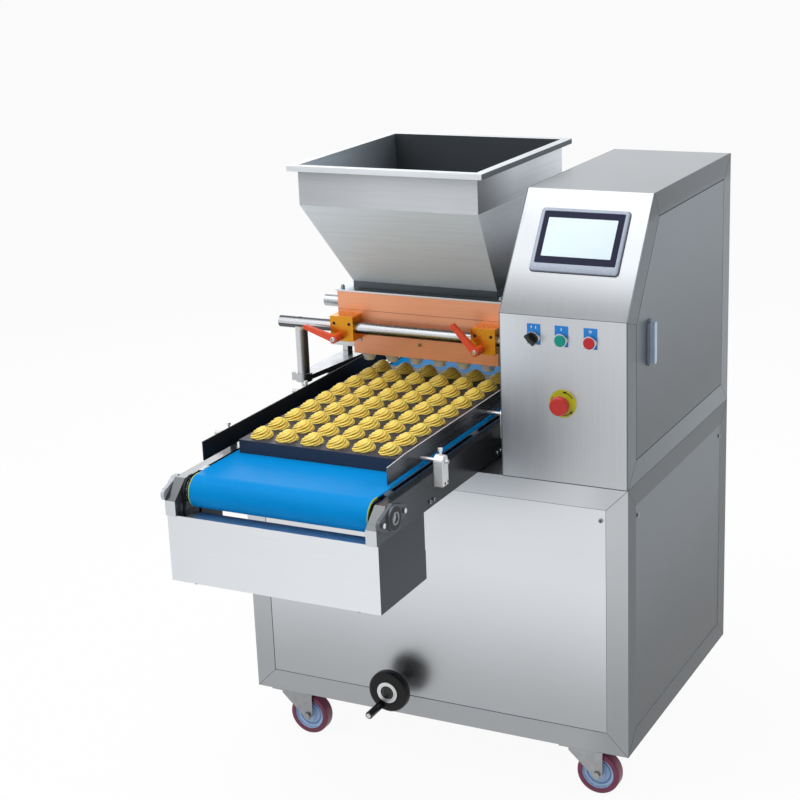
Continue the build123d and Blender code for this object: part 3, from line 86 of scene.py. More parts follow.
# Conveyor: middle line, outer faces of its side plates, the rollers' axes, and its bearings, guide posts
# and screws; OUT is a distance out from the side plates, APART half the distance between two screws
LINE = -595.0
RAIL_LEFT, RAIL_RIGHT = -845, -345
ROLLER_YS, ROLLER_Z = (-430, 923), 676
BEARING_OUT, BOLT_OUT, BOLT_APART = 14, 13, 46
POST_PITCH, POST_Y, POST_SCREW_Z, POST_SCREW_OUT = 342, -212, 680, 22.55
RAIL_SCREW_Y, RAIL_SCREW_Z = -239, 646
RAIL_SCREW_APART, POST_SCREW_APART = 9, 7

# Tray: height of its top, places of the dough pieces, and their radius and height
TRAY_TOP, DOUGH_Y = 742, -240
COLUMNS, ROWS, PITCH_X, PITCH_Y = 6, 9, 62.7, 70
DOUGH_R, DOUGH_H = 26.4, 23.6

# Handwheel: its axis, face, and the end of the crank grip
WHEEL_X, WHEEL_Z, WHEEL_FACE = -565, 84, -67
GRIP_X, GRIP_Z, GRIP_END = -585, 48, -125.3

# Counter beside the rear post: middle of its body, turn, and half depth
COUNTER_X, COUNTER_Y, COUNTER_Z, COUNTER_TURN, COUNTER_DEPTH = -906, 364, 708, math.radians(40), 13

# Castors: places of the swivels across, trail, and height of the axles
CASTOR_X = {"front_right": -122, "front_left": -878, "rear_right": -250, "rear_left": -710}
TRAIL, AXLE_Z = 36, -74


def at(x, y, z):
    """Place in the row frame, in metres, of a point in the drawing's frame."""
    return (Vector((x, y, z)) + SHIFT) / 1000


def on_slope(x, up, out):
    """Place of a point on the control box's slope: across, up the slope and out from it."""
    c, s = math.cos(SLOPE), math.sin(SLOPE)
    return at(x, up * c - out * s, SLOPE_FOOT + up * s + out * c)


def rail_sides(out):
    """Outer faces of the conveyor, moved out by a distance, with the axis that points out of each."""
    return (RAIL_LEFT - out, "-x"), (RAIL_RIGHT + out, "x")


# Materials


def node(tree, kind, links=(), **values):
    """New shader node: values set properties or inputs by name, links feed inputs."""
    made = tree.nodes.new(kind)
    for key, value in values.items():
        if hasattr(made, key):
            setattr(made, key, value)
        else:
            made.inputs[key.replace("_", " ")].default_value = value
    for target, source in links:
        tree.links.new(source, made.inputs[target])
    return made


def math_node(tree, operation, a, b=None, clamp=False):
    """Socket with a sum, product or test of sockets or fixed values."""
    made = tree.nodes.new("ShaderNodeMath")
    made.operation = operation
    made.use_clamp = clamp
    for i, value in enumerate((a, b)):
        if value is None:
            continue
        if isinstance(value, (int, float)):
            made.inputs[i].default_value = value
        else:
            tree.links.new(value, made.inputs[i])
    return made.outputs[0]


def rgb(r, g, b):
    """Linear colour with alpha from an 8 bit sRGB one."""
    def linear(v):
        v /= 255
        return v / 12.92 if v <= 0.04045 else ((v + 0.055) / 1.055) ** 2.4
    return (linear(r), linear(g), linear(b), 1.0)


def even(scale):
    """Grain of the same fineness along all three axes."""
    return (scale, scale, scale)


# Grains in periods per metre, shares of the grain and the clouds in a colour, and depth of the bump
FINE = even(60.0)
BRUSH, HAIRLINE, UPRIGHT = (6.0, 6.0, 900.0), (5.0, 5.0, 320.0), (320.0, 5.0, 5.0)
LINE_SHARE, CLOUD_SHARE = 0.55, 0.45
BUMP_DEPTH = 0.0006


def finish(name, dark, light, rough, grain=FINE, bump=0.02, metallic=0.0, specular=0.5, bevel=0.8, cloud=4.0,
           **sockets):
    """Material whose colour, roughness and bump follow a stretched grain and a cloudy variation."""
    material = bpy.data.materials.new(name)
    material.use_nodes = True
    tree = material.node_tree
    shader = tree.nodes["Principled BSDF"]
    shader.inputs["Metallic"].default_value = metallic
    shader.inputs["Specular IOR Level"].default_value = specular
    for key, value in sockets.items():
        shader.inputs[key.replace("_", " ")].default_value = value
    place = node(tree, "ShaderNodeTexCoord").outputs["Object"]
    stretched = node(tree, "ShaderNodeMapping", [("Vector", place)], Scale=grain)
    lines = node(tree, "ShaderNodeTexNoise", [("Vector", stretched.outputs[0])], Scale=1.0, Detail=4.0,
                 Roughness=0.6)
    clouds = node(tree, "ShaderNodeTexNoise", [("Vector", place)], Scale=cloud, Detail=2.0)
    share = math_node(tree, "ADD", math_node(tree, "MULTIPLY", lines.outputs["Fac"], LINE_SHARE),
                      math_node(tree, "MULTIPLY", clouds.outputs["Fac"], CLOUD_SHARE))
    ramp = node(tree, "ShaderNodeValToRGB", [("Fac", share)])
    for element, position, colour in zip(ramp.color_ramp.elements, (0.3, 0.7), (dark, light)):
        element.position, element.color = position, colour
    tree.links.new(ramp.outputs["Color"], shader.inputs["Base Color"])
    spread = node(tree, "ShaderNodeMapRange", [("Value", lines.outputs["Fac"])], From_Min=0.3, From_Max=0.7,
                  To_Min=rough[0], To_Max=rough[1])
    tree.links.new(spread.outputs["Result"], shader.inputs["Roughness"])
    soft = node(tree, "ShaderNodeBevel", samples=4, Radius=bevel / 1000)
    relief = node(tree, "ShaderNodeBump", [("Height", lines.outputs["Fac"]), ("Normal", soft.outputs[0])],
                  Strength=bump, Distance=BUMP_DEPTH)
    tree.links.new(relief.outputs["Normal"], shader.inputs["Normal"])
    return material


def coordinate(material, axis, source="Object"):
    """Socket with one coordinate of the object or, from Normal, of its surface normal."""
    tree = material.node_tree
    place = node(tree, "ShaderNodeTexCoord").outputs[source]
    return node(tree, "ShaderNodeSeparateXYZ", [("Vector", place)]).outputs[axis]


def mixed(tree, blend, factor, a, b):
    """Colour socket that lays b over a; each may be a socket or a fixed value."""
    made = tree.nodes.new("ShaderNodeMix")
    made.data_type = "RGBA"
    made.blend_type = blend
    factor_in, a_in, b_in, colour_out = 0, 6, 7, 2
    for index, value in ((factor_in, factor), (a_in, a), (b_in, b)):
        if isinstance(value, (int, float, tuple)):
            made.inputs[index].default_value = value
        else:
            tree.links.new(value, made.inputs[index])
    return made.outputs[colour_out]


def shift(material, key, mask, value):
    """Take one of the shader's values to another where the mask is 1."""
    tree = material.node_tree
    socket = tree.nodes["Principled BSDF"].inputs[key]
    spread = node(tree, "ShaderNodeMapRange", [("Value", mask)], To_Min=socket.default_value, To_Max=value)
    if socket.links:
        tree.links.new(socket.links[0].from_socket, spread.inputs["To Min"])
    tree.links.new(spread.outputs["Result"], socket)


def repaint(material, mask, colour, metallic=None, rough=None):
    """Lay another colour, metalness or roughness over a material where the mask is 1."""
    tree = material.node_tree
    target = tree.nodes["Principled BSDF"].inputs["Base Color"]
    tree.links.new(mixed(tree, "MIX", mask, target.links[0].from_socket, colour), target)
    for key, value in (("Metallic", metallic), ("Roughness", rough)):
        if value is not None:
            shift(material, key, mask, value)
    return material


def facing(material, axis, limit):
    """Mask of the faces whose normal passes the limit along an axis; a negative limit faces the other way."""
    value = coordinate(material, axis, "Normal")
    return math_node(material.node_tree, "GREATER_THAN" if limit > 0 else "LESS_THAN", value, limit)


def leaning(material, axis, start, end):
    """Mask that grows from 0 to 1 as the normal's share along an axis goes from start to end."""
    return node(material.node_tree, "ShaderNodeMapRange", [("Value", coordinate(material, axis, "Normal"))],
                From_Min=start, From_Max=end).outputs["Result"]


def beyond(material, axis, limit, less=False):
    """Mask of the places past a limit, in metres, along an axis."""
    value = coordinate(material, axis)
    return math_node(material.node_tree, "LESS_THAN" if less else "GREATER_THAN", value, limit)


def both(material, *masks):
    """Mask of the places where all the masks are 1."""
    mask = masks[0]
    for other in masks[1:]:
        mask = math_node(material.node_tree, "MULTIPLY", mask, other)
    return mask


def planes(axis, *values):
    """Number of an axis, and places along it taken from the drawing to the row frame."""
    i = "xyz".index(axis)
    return i, [(v + SHIFT[i]) / 1000 for v in values]


def band(material, axis, low, high):
    """Mask of the places between two planes of the drawing."""
    i, (low, high) = planes(axis, low, high)
    return both(material, beyond(material, i, low), beyond(material, i, high, True))


def graded(material, tint, *runs):
    """Colour socket: a tint times levels along the drawing's axes, each as (axis, from, to, level, level);
    these levels paint light and shade into the colour.
    """
    tree = material.node_tree
    value = None
    for axis, start, end, low, high in runs:
        i, (start, end) = planes(axis, start, end)
        run = node(tree, "ShaderNodeMapRange", [("Value", coordinate(material, i))],
                   interpolation_type="SMOOTHSTEP", From_Min=start, From_Max=end, To_Min=low, To_Max=high)
        run = run.outputs["Result"]
        value = run if value is None else math_node(tree, "MULTIPLY", value, run)
    return mixed(tree, "MULTIPLY", 1.0, tint, value)


# Tints of steel, BLUISH being the tint of faces painted as in shade, and the lower metalness that goes with
# the painted shade of the right side
COOL = (0.955, 0.99, 1.03, 1)
BLUISH = (0.87, 1.0, 1.12, 1)
PALE_BLUE = (0.9, 0.97, 1.03, 1)
DULL = 0.4


def wall(axis, way, *limits):
    """Mask of the faces that look along an axis, within planes of the drawing."""
    def mask(made):
        return both(made, facing(made, axis, way), *(band(made, *limit) for limit in limits))
    return mask


def between(*limits):
    """Mask of the places within planes of the drawing."""
    def mask(made):
        return both(made, *(band(made, *limit) for limit in limits))
    return mask


def steel(name, ground, *faces, tint=COOL, rough=(0.30, 0.38), grain=BRUSH, streak=0.93, metallic=1.0):
    """Brushed stainless steel with light and shade painted into its colour: the ground's grading, with faces
    as (mask, shade, gradings) over it.
    """
    made = finish(name, (streak, streak, streak, 1), (1.0, 1.0, 1.0, 1), rough, grain, bump=0.05,
                  metallic=metallic, specular=0.2)
    tree = made.node_tree
    target = tree.nodes["Principled BSDF"].inputs["Base Color"]
    colour = graded(made, tint, *ground)
    for mask, shade, *runs in faces:
        colour = mixed(tree, "MIX", mask(made), colour, graded(made, shade, *runs))
    tree.links.new(mixed(tree, "MULTIPLY", 1.0, target.links[0].from_socket, colour), target)
    return made


# Stainless steel of the sheets, tubes and rails, with light and shade painted into its colour

right, upward, sloped = wall(X, 0.6), wall(Z, 0.8), wall(Z, 0.4)
# Painted shade: tubes and panels darker towards the bottom and, across, towards one end; right faces painted
# dark and bluish; top faces painted dark as in the shade under the conveyor
stainless = steel(
    "stainless_tube", [("z", 20, 600, 0.38, 0.66), ("x", -120, -30, 1.0, 0.85)],
    (right, BLUISH, ("z", 20, 600, 0.075, 0.10)),
    (upward, COOL, ("x", -960, 0, 0.35, 0.35)))
panel = steel(
    "stainless_panel", [("z", 40, 420, 0.42, 0.76), ("x", -960, -520, 0.96, 1.0)],
    (right, BLUISH, ("z", 60, 580, 0.075, 0.18)),
    (upward, COOL, ("x", -960, 0, 0.35, 0.35)))
# Painted light and shade on the control box: darker low down and lighter towards its left, the slope darker
# at its foot and lighter towards its top and right, the top lighter towards the back
wrap = steel(
    "stainless_wrap", [("z", 640, 990, 0.56, 0.66), ("x", -290, -190, 1.15, 1.0)],
    (sloped, COOL, ("z", 1000, 1110, 0.15, 0.35), ("z", 1110, 1230, 1.0, 1.15), ("x", -290, -20, 1.0, 1.13)),
    (upward, COOL, ("y", 160, 720, 0.62, 0.68)), grain=UPRIGHT, streak=0.89)
# Painted shade: the door and the box's side frame are dark, bluish, less metallic copies of the steel for the
# shaded right side; the door darker lower down, the frame darker towards the front and along its top, its
# left faces lighter
side_sheet = steel("stainless_door", [("z", 690, 1180, 0.115, 0.24)], tint=BLUISH, metallic=DULL)
side_frame = steel(
    "stainless_side_frame", [("y", 0, 710, 0.165, 0.235), ("z", 1170, 1200, 1.0, 0.6)],
    (wall(X, -0.6), COOL, ("z", 640, 1240, 0.5, 0.6)), tint=BLUISH, metallic=DULL)
# Painted light and shade on the guard: its front lighter to the right, its right faces painted dark as in
# shade; it is also near black from 470 to 485 mm high
guard = steel(
    "stainless_guard", [("x", -860, -520, 0.77, 0.83)],
    (right, BLUISH, ("z", 480, 640, 0.085, 0.065)),
    (between(("z", 470, 485)), COOL, ("z", 470, 485, 0.05, 0.05)))
# Painted light and shade on the side plates: right faces dark and darker towards the back, faces leaning
# forward dark, and the front end faces painted bright as lit
rail = steel(
    "rail_polished", [("y", -489, 0, 0.22, 0.26)],
    (right, BLUISH, ("y", -489, -150, 0.1, 0.028)),
    (wall(Y, -0.4), COOL, ("z", 633, 706, 0.1, 0.12)),
    (wall(Y, -0.9), COOL, ("z", 633, 706, 0.66, 0.66)), rough=(0.2, 0.28), grain=(30, 3, 400))
# Painted light and shade on the hopper: lighter to the right, a bright rim top, downward faces and the cone's
# front lighter higher up and to the left, a dark neck, right faces darker towards the front and lower down, a
# dark right lip on the rim, and the inner faces of the left and back walls painted dark, near black at the
# back
cone_front = wall(Y, -0.3, ("z", 976, 1187))
hopper_steel = steel(
    "stainless_hopper", [("x", -820, -560, 0.54, 0.66)],
    (between(("z", 1266, 1279)), COOL, ("x", -820, -560, 0.78, 0.84)),
    (wall(Z, -0.3), COOL, ("z", 985, 1190, 0.7, 0.9)),
    (cone_front, PALE_BLUE, ("z", 985, 1190, 0.88, 0.97), ("x", -790, -420, 1.0, 0.92)),
    (between(("z", 955, 976)), BLUISH, ("x", -790, -420, 0.16, 0.09)),
    (right, COOL, ("y", 80, 300, 0.3, 0.9), ("y", 300, 560, 1.0, 1.06)),
    (wall(X, 0.6, ("z", 900, 1187)), COOL, ("z", 1020, 1160, 0.2, 0.96)),
    (wall(X, 0.6, ("z", 1264, 1278)), BLUISH, ("z", 1260, 1280, 0.12, 0.12)),
    (wall(X, 0.6, ("x", -900, -600)), BLUISH, ("y", 100, 560, 0.62, 0.14)),
    (wall(Y, -0.5, ("y", 330, 586)), BLUISH, ("z", 980, 1280, 0.04, 0.06)),
    (upward, COOL, ("y", 60, 600, 0.85, 0.8)),
    rough=(0.42, 0.5), grain=HAIRLINE, streak=0.84, metallic=0.35)
# Painted shade on the head plate: darker to the right, and its top painted dark except at its left end
plate_steel = steel(
    "stainless_plate", [("x", -820, -380, 0.80, 0.70)],
    (upward, BLUISH, ("x", -800, -755, 0.62, 0.12)), rough=(0.3, 0.4), metallic=0.6)
# Metalness that goes with the painted shade and light: right faces duller, the hopper's cone front almost
# without metalness, its right walls more metallic
for made in (stainless, panel, guard, rail):
    shift(made, "Metallic", right(made), DULL)
shift(hopper_steel, "Metallic", cone_front(hopper_steel), 0.1)
shift(hopper_steel, "Metallic", wall(X, 0.6, ("x", -600, -300))(hopper_steel), 0.8)

# Other metals, paints and plastics

chrome = finish(
    "chrome_polished", (0.52, 0.54, 0.56, 1), (0.66, 0.67, 0.68, 1), (0.10, 0.16), bump=0.01, metallic=1.0)
bar_chrome = finish(
    "chrome_satin", (0.54, 0.55, 0.57, 1), (0.64, 0.65, 0.67, 1), (0.24, 0.3), bump=0.0, metallic=1.0,
    bevel=0.1)
dark_chrome = finish(
    "chrome_dark", (0.22, 0.23, 0.25, 1), (0.34, 0.35, 0.37, 1), (0.10, 0.18), bump=0.01, metallic=1.0)
steel_bar = finish(
    "steel_turned", (0.36, 0.38, 0.40, 1), (0.52, 0.54, 0.56, 1), (0.24, 0.34), (300, 20, 20), bump=0.0,
    metallic=1.0, bevel=0.1)
drum = finish(
    "drum_steel", (0.40, 0.42, 0.44, 1), (0.52, 0.54, 0.56, 1), (0.25, 0.35), (40, 300, 300), bump=0.03,
    metallic=1.0)
zinc = finish(
    "zinc_plated", (0.24, 0.25, 0.26, 1), (0.36, 0.37, 0.38, 1), (0.24, 0.36), bump=0.03, metallic=1.0)
post = finish(
    "post_aluminium_satin", (0.88, 0.89, 0.90, 1), (0.96, 0.96, 0.96, 1), (0.30, 0.40), bump=0.03,
    metallic=0.5)
arm_steel = finish(
    "arm_aluminium", (0.46, 0.48, 0.50, 1), (0.56, 0.58, 0.60, 1), (0.34, 0.42), bump=0.03, metallic=0.9)
nozzle_metal = finish(
    "nozzle_aluminium", (0.70, 0.74, 0.80, 1), (0.82, 0.86, 0.92, 1), (0.4, 0.5), metallic=0.2)
copper = finish(
    "copper_anodised_satin", rgb(232, 158, 120), rgb(242, 175, 138), (0.34, 0.42), (4, 4, 260), metallic=0.75)
gold = finish(
    "gold_anodised_satin", rgb(205, 135, 25), rgb(224, 158, 45), (0.24, 0.34), bump=0.03, metallic=0.8)
copper_line = finish("copper_joint", rgb(204, 134, 100), rgb(216, 148, 114), (0.4, 0.5))
bearing_grey = finish(
    "bearing_grey", rgb(78, 84, 90), rgb(98, 104, 110), (0.4, 0.5), even(220), bump=0.15, metallic=0.4)
cast = finish(
    "casting_grey", rgb(112, 116, 120), rgb(138, 142, 146), (0.45, 0.6), even(220), bump=0.2, metallic=0.3)
motor_paint = finish("motor_paint", rgb(92, 100, 106), rgb(112, 120, 126), (0.4, 0.5), even(180), bump=0.1)
black_steel = finish(
    "guide_black", rgb(16, 17, 18), rgb(27, 28, 30), (0.45, 0.55), (6, 6, 400), bump=0.04, specular=0.15)
guide_steel = finish(
    "guide_steel_dark", (0.11, 0.12, 0.135, 1), (0.16, 0.17, 0.185, 1), (0.22, 0.32), (5, 5, 500), bump=0.03,
    metallic=1.0)
chain_steel = finish(
    "chain_black", rgb(16, 17, 20), rgb(30, 31, 34), (0.35, 0.45), even(200), bump=0.1, metallic=0.5)
coating = finish("tray_coating_navy", rgb(30, 36, 52), rgb(44, 52, 70), (0.38, 0.5), even(160), bump=0.12)
belt_blue = finish("belt_pu_blue", rgb(0, 134, 208), rgb(2, 142, 216), (0.34, 0.44), even(50), specular=0.05)
red_paint = finish("lever_red", rgb(222, 66, 36), rgb(240, 88, 50), (0.28, 0.38), even(120), bump=0.05)
black_plastic = finish("plastic_black", rgb(14, 14, 16), rgb(28, 28, 30), (0.26, 0.38), even(160), bump=0.05)
wheel_black = finish(
    "handwheel_black", rgb(7, 7, 8), rgb(14, 14, 16), (0.3, 0.4), even(120), bump=0.05, specular=0.25)
trim_black = finish("trim_black", rgb(16, 17, 20), rgb(28, 30, 34), (0.5, 0.6), even(160), bump=0.05)
# Dark of painted shade: the screw sockets and the shadow line round the screen
painted_shade_dark = finish("painted_shade_dark", rgb(22, 23, 26), rgb(36, 37, 40), (0.4, 0.5), metallic=0.4)
bezel_paint = finish(
    "bezel_silver_paint", rgb(148, 156, 170), rgb(168, 176, 190), (0.3, 0.4), even(150), bump=0.04,
    metallic=0.2, specular=0.2)
glass_navy = finish(
    "screen_border_navy", rgb(26, 28, 52), rgb(36, 38, 64), (0.3, 0.4), bump=0.0, specular=0.1)
display = finish(
    "screen_display", rgb(224, 240, 246), rgb(230, 244, 250), (0.3, 0.36), even(3), bump=0.0, specular=0.1)
legend = finish("legend_blue", rgb(14, 122, 206), rgb(26, 136, 220), (0.35, 0.45))
legend_white = finish("legend_white", rgb(214, 228, 240), rgb(236, 244, 250), (0.4, 0.5))
green = finish("button_green", rgb(0, 140, 120), rgb(16, 160, 138), (0.3, 0.4), specular=0.3)
red = finish("button_red", rgb(186, 34, 42), rgb(206, 50, 54), (0.3, 0.4), specular=0.3)
stop_red = finish("estop_red", rgb(182, 34, 28), rgb(202, 50, 40), (0.34, 0.44), bump=0.03)
control = finish(
    "control_plastic_grey", rgb(176, 180, 182), rgb(198, 200, 202), (0.45, 0.55), even(90), bump=0.06)
dough_mix = finish(
    "dough_yellow", rgb(238, 204, 74), rgb(252, 230, 120), (0.42, 0.56), even(140), bump=0.3, bevel=0.4,
    cloud=60.0, Subsurface_Weight=0.15, Subsurface_Scale=0.004)
lock_paint = finish("lock_grey_blue", rgb(158, 178, 202), rgb(182, 200, 220), (0.28, 0.36), metallic=0.3)
lock_base = finish("lock_base_grey", rgb(96, 104, 116), rgb(116, 124, 136), (0.35, 0.45), metallic=0.3)
teal = finish("lock_cover_teal", rgb(0, 108, 150), rgb(10, 130, 172), (0.3, 0.4))
seam_dark = finish("seam_shadow", rgb(70, 76, 84), rgb(92, 98, 106), (0.5, 0.6))
seam_side = finish("seam_side", rgb(128, 136, 144), rgb(146, 154, 162), (0.4, 0.5), metallic=0.4)

# Chrome bars: a painted dark reflection on top of the cross shaft and painted shade under it, more so at its
# left end, and painted shade on the right of the posts
shaft_height = band(bar_chrome, "z", 855, 895)
shaft_top_painted_reflection = both(bar_chrome, leaning(bar_chrome, Z, 0.2, 0.95), shaft_height)
shaft_under_painted_shade = both(bar_chrome, leaning(bar_chrome, Z, -0.1, -0.5), shaft_height)
shaft_end_painted_shade = wall(Z, -0.1, ("x", -960, -809), ("z", 855, 895))
posts_right_painted_shade = both(bar_chrome, leaning(bar_chrome, X, 0.1, 0.75), band(bar_chrome, "z", 625, 862))
repaint(bar_chrome, shaft_top_painted_reflection, (0.13, 0.138, 0.148, 1))
repaint(bar_chrome, shaft_under_painted_shade, (0.05, 0.053, 0.058, 1))
repaint(bar_chrome, shaft_end_painted_shade(bar_chrome), (0.10, 0.105, 0.11, 1), rough=0.4)
repaint(bar_chrome, posts_right_painted_shade, (0.06, 0.064, 0.07, 1), metallic=0.6, rough=0.4)

# Painted shade: the clamp screw heads near black for the shade in their sockets, and the arm's right side
# dark; painted light: the bearings on the left made paler
clamp_socket_painted_shade = between(("y", 179, 186), ("z", 880, 896))
repaint(dark_chrome, clamp_socket_painted_shade(dark_chrome), (0.025, 0.024, 0.022, 1), metallic=0.4, rough=0.4)
repaint(arm_steel, facing(arm_steel, X, 0.5), (0.09, 0.1, 0.115, 1))
repaint(bearing_grey, band(bearing_grey, "x", -900, -840), rgb(186, 192, 198))

# Painted shade in the creases of the dough
hollows = node(dough_mix.node_tree, "ShaderNodeNewGeometry").outputs["Pointiness"]
crease_painted_shade = node(dough_mix.node_tree, "ShaderNodeMapRange", [("Value", hollows)], From_Min=0.5, From_Max=0.43)
repaint(dough_mix, crease_painted_shade.outputs["Result"], rgb(184, 136, 40))

# Yellow plate of the emergency stop, the only one below this height in metres
YELLOW_BELOW = 1.0
repaint(legend, beyond(legend, Z, YELLOW_BELOW, True), rgb(192, 186, 26))

# Yellow green edges of the belt where it bends round the rollers
YELLOW_GREEN = rgb(172, 190, 44)
for edge in (("x", -801, -798), ("x", -377, -374)):
    for nose in (("y", -500, -420), ("y", 913, 1000)):
        repaint(belt_blue, between(edge, nose)(belt_blue), YELLOW_GREEN)

# Bright rods of the guides, and painted light on the top of the right one
repaint(black_steel, band(black_steel, "x", -900, -827.5), (0.6, 0.61, 0.62, 1), metallic=1.0)
repaint(guide_steel, band(guide_steel, "x", -380.5, -300), (0.6, 0.61, 0.62, 1))
repaint(guide_steel, facing(guide_steel, Z, 0.6), (0.7, 0.71, 0.72, 1), metallic=0.3)

# Bright metal in front of the handwheel's face
wheel_front = beyond(wheel_black, Y, at(0, WHEEL_FACE - 0.1, 0).y, True)
repaint(wheel_black, wheel_front, (0.66, 0.67, 0.68, 1), metallic=1.0)

# Rings of a castor wheel's hub, each as its radius and colour
HUB_RINGS = ((37.5, rgb(184, 208, 238)), (30.5, rgb(104, 138, 182)), (25.5, rgb(166, 192, 226)))


def wheel_finish(name, x, z):
    """Castor wheel: a maroon tread and a hub in rings of blue, told apart by the distance from the axle."""
    made = finish(name, rgb(104, 30, 62), rgb(124, 44, 78), (0.34, 0.44), even(120), bump=0.06)
    tree = made.node_tree
    centre = at(x, 0, z)
    across = math_node(tree, "SUBTRACT", coordinate(made, X), centre.x)
    up = math_node(tree, "SUBTRACT", coordinate(made, Z), centre.z)
    radius = math_node(tree, "SQRT", math_node(tree, "ADD", math_node(tree, "MULTIPLY", across, across),
                                               math_node(tree, "MULTIPLY", up, up)))
    for reach, colour in HUB_RINGS:
        repaint(made, math_node(tree, "LESS_THAN", radius, reach / 1000), colour)
    return made


FINISHES = {
    "cabinet_frame": stainless, "cabinet_panels": panel, "box_wrap": wrap, "box_sides": side_frame,
    "door": side_sheet, "lock_handle": lock_paint, "legend_plates": legend, "button_collars": chrome,
    "selector_knob": black_plastic, "start_button": green, "stop_button": red, "estop_head": stop_red,
    "control_gear": control, "castor_plates": zinc, "conveyor_sides": rail, "belt": belt_blue,
    "belt_bed": drum, "drive_roller": drum, "tail_roller": drum, "flange_bearings": bearing_grey,
    "drive_guard": guard, "conveyor_motor": motor_paint, "motor_sprocket": chain_steel,
    "drive_chain": chain_steel, "guide_posts": post, "guide_left": black_steel, "guide_right": guide_steel,
    "tray": coating, "lift_frame": steel_bar, "lead_screw": chrome, "jack_gearbox": cast,
    "handwheel_shaft": chrome, "handwheel": wheel_black, "crank_grip": black_plastic, "head_block": copper,
    "nozzles": nozzle_metal, "head_plate": plate_steel, "feed_roller_front": steel_bar,
    "feed_roller_rear": steel_bar, "drive_housing": plate_steel, "feed_motor": motor_paint,
    "hopper": hopper_steel, "clamp_blocks": gold, "clamp_lever_left": red_paint,
    "clamp_lever_right": red_paint, "chrome_bars": bar_chrome, "tie_arm": arm_steel, "counter": post,
    "screws_and_nuts": dark_chrome, "dough": dough_mix, "hmi_case": bezel_paint, "hmi_screen": display,
}
for corner, x in CASTOR_X.items():
    FINISHES["castor_fork_" + corner] = zinc
    FINISHES["castor_wheel_" + corner] = wheel_finish("castor_wheel_" + corner, x + TRAIL, AXLE_Z)
for name, obj in nodes.items():
    obj.data.materials.clear()
    obj.data.materials.append(FINISHES[name])


# Pieces

SHARP = math.radians(35)


def piece(name, build, material, body, smooth=True):
    """Mesh object from a function that fills a bmesh in the row frame."""
    shape = bmesh.new()
    build(shape)
    bmesh.ops.recalc_face_normals(shape, faces=shape.faces)
    mesh = bpy.data.meshes.new(name)
    shape.to_mesh(mesh)
    shape.free()
    mesh.materials.append(material)
    made = bpy.data.objects.new(name, mesh)
    scene.collection.objects.link(made)
    if smooth:
        mesh.shade_smooth()
        mesh.set_sharp_from_angle(angle=SHARP)
    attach(made, body)
    return made


def loft(shape, loops, close_first=True, close_last=True):
    """Skin between closed loops of equal length."""
    rings = [[shape.verts.new(p) for p in loop] for loop in loops]
    count = len(rings[0])
    for a, b in zip(rings, rings[1:]):
        for i in range(count):
            j = (i + 1) % count
            shape.faces.new((a[i], a[j], b[j], b[i]))
    if close_first:
        shape.faces.new(rings[0])
    if close_last:
        shape.faces.new(rings[-1])


def turn_loops(place, axis, outline, count, twist=0.0):
    """Loops of a turned shape: outline lists (radius, distance along the axis) in millimetres."""
    ways = {
        "x": (Vector((0, 1, 0)), Vector((0, 0, 1)), Vector((1, 0, 0))),
        "-x": (Vector((0, 0, 1)), Vector((0, 1, 0)), Vector((-1, 0, 0))),
        "-y": (Vector((1, 0, 0)), Vector((0, 0, 1)), Vector((0, -1, 0))),
    }
    u, v, w = ways[axis]
    loops = []
    for radius, along in outline:
        loop = []
        for i in range(count):
            angle = 2 * math.pi * i / count + twist
            way = u * math.cos(angle) + v * math.sin(angle)
            loop.append(place + way * radius / 1000 + w * along / 1000)
        loops.append(loop)
    return loops


def rounded(x0, x1, y0, y1, radius, steps=6):
    """Rectangle with round corners as a list of points, anticlockwise."""
    points = []
    for cx, cy, start in ((x1, y1, 0), (x0, y1, 90), (x0, y0, 180), (x1, y0, 270)):
        ox = cx - radius if cx == x1 else cx + radius
        oy = cy - radius if cy == y1 else cy + radius
        for i in range(steps + 1):
            angle = math.radians(start + 90 * i / steps)
            points.append((ox + radius * math.cos(angle), oy + radius * math.sin(angle)))
    return points


HEX = 6


def cap_screw(shape, place, axis, radius, height):
    """Round screw head with a bevelled rim and a hexagon socket."""
    socket, twist, count = radius * 0.55, 0.3, 24
    head = [(radius, 0), (radius, height * 0.75), (radius * 0.86, height), (socket, height)]
    recess = [(socket, height), (radius * 0.5, height * 0.3)]
    loft(shape, turn_loops(place, axis, head, count), True, False)
    loft(shape, turn_loops(place, axis, recess, HEX, twist), False, True)


def hex_socket(shape, place, axis, radius):
    """Dark hexagon of painted shade that stands for the recess of a screw."""
    bevel = 0.2
    loft(shape, turn_loops(place, axis, [(radius, 0), (radius - bevel, bevel)], HEX))


def annulus(shape, place, axis, inner, outer, height):
    """Flat ring with a bevelled outer and inner edge."""
    edge = min(height, outer - inner) * 0.3
    outline = [(inner, 0), (inner, height - edge), (inner + edge, height), (outer - edge, height),
               (outer, height - edge), (outer, 0)]
    loft(shape, turn_loops(place, axis, outline, 40), False, False)


# Dough: ridged mounds, twisted by the nozzle and drawn to a leaning tip

ROUND, RINGS, STRANDS, TURNS, STEP_TURNS = 96, 30, 7, 0.55, 1.6
CREASE_DEPTH, STEP_DEPTH = 0.15, 0.13
TIP, FOOT, LEAN, DENT, DENT_ANGLE = 0.985, 0.15, 7.0, 2.2, 3.6


def dough_places():
    """Places of the pieces on the tray, row by row from the front."""
    for row in range(ROWS):
        for column in range(COLUMNS):
            yield at(LINE + (column - (COLUMNS - 1) / 2) * PITCH_X, DOUGH_Y + row * PITCH_Y, TRAY_TOP)


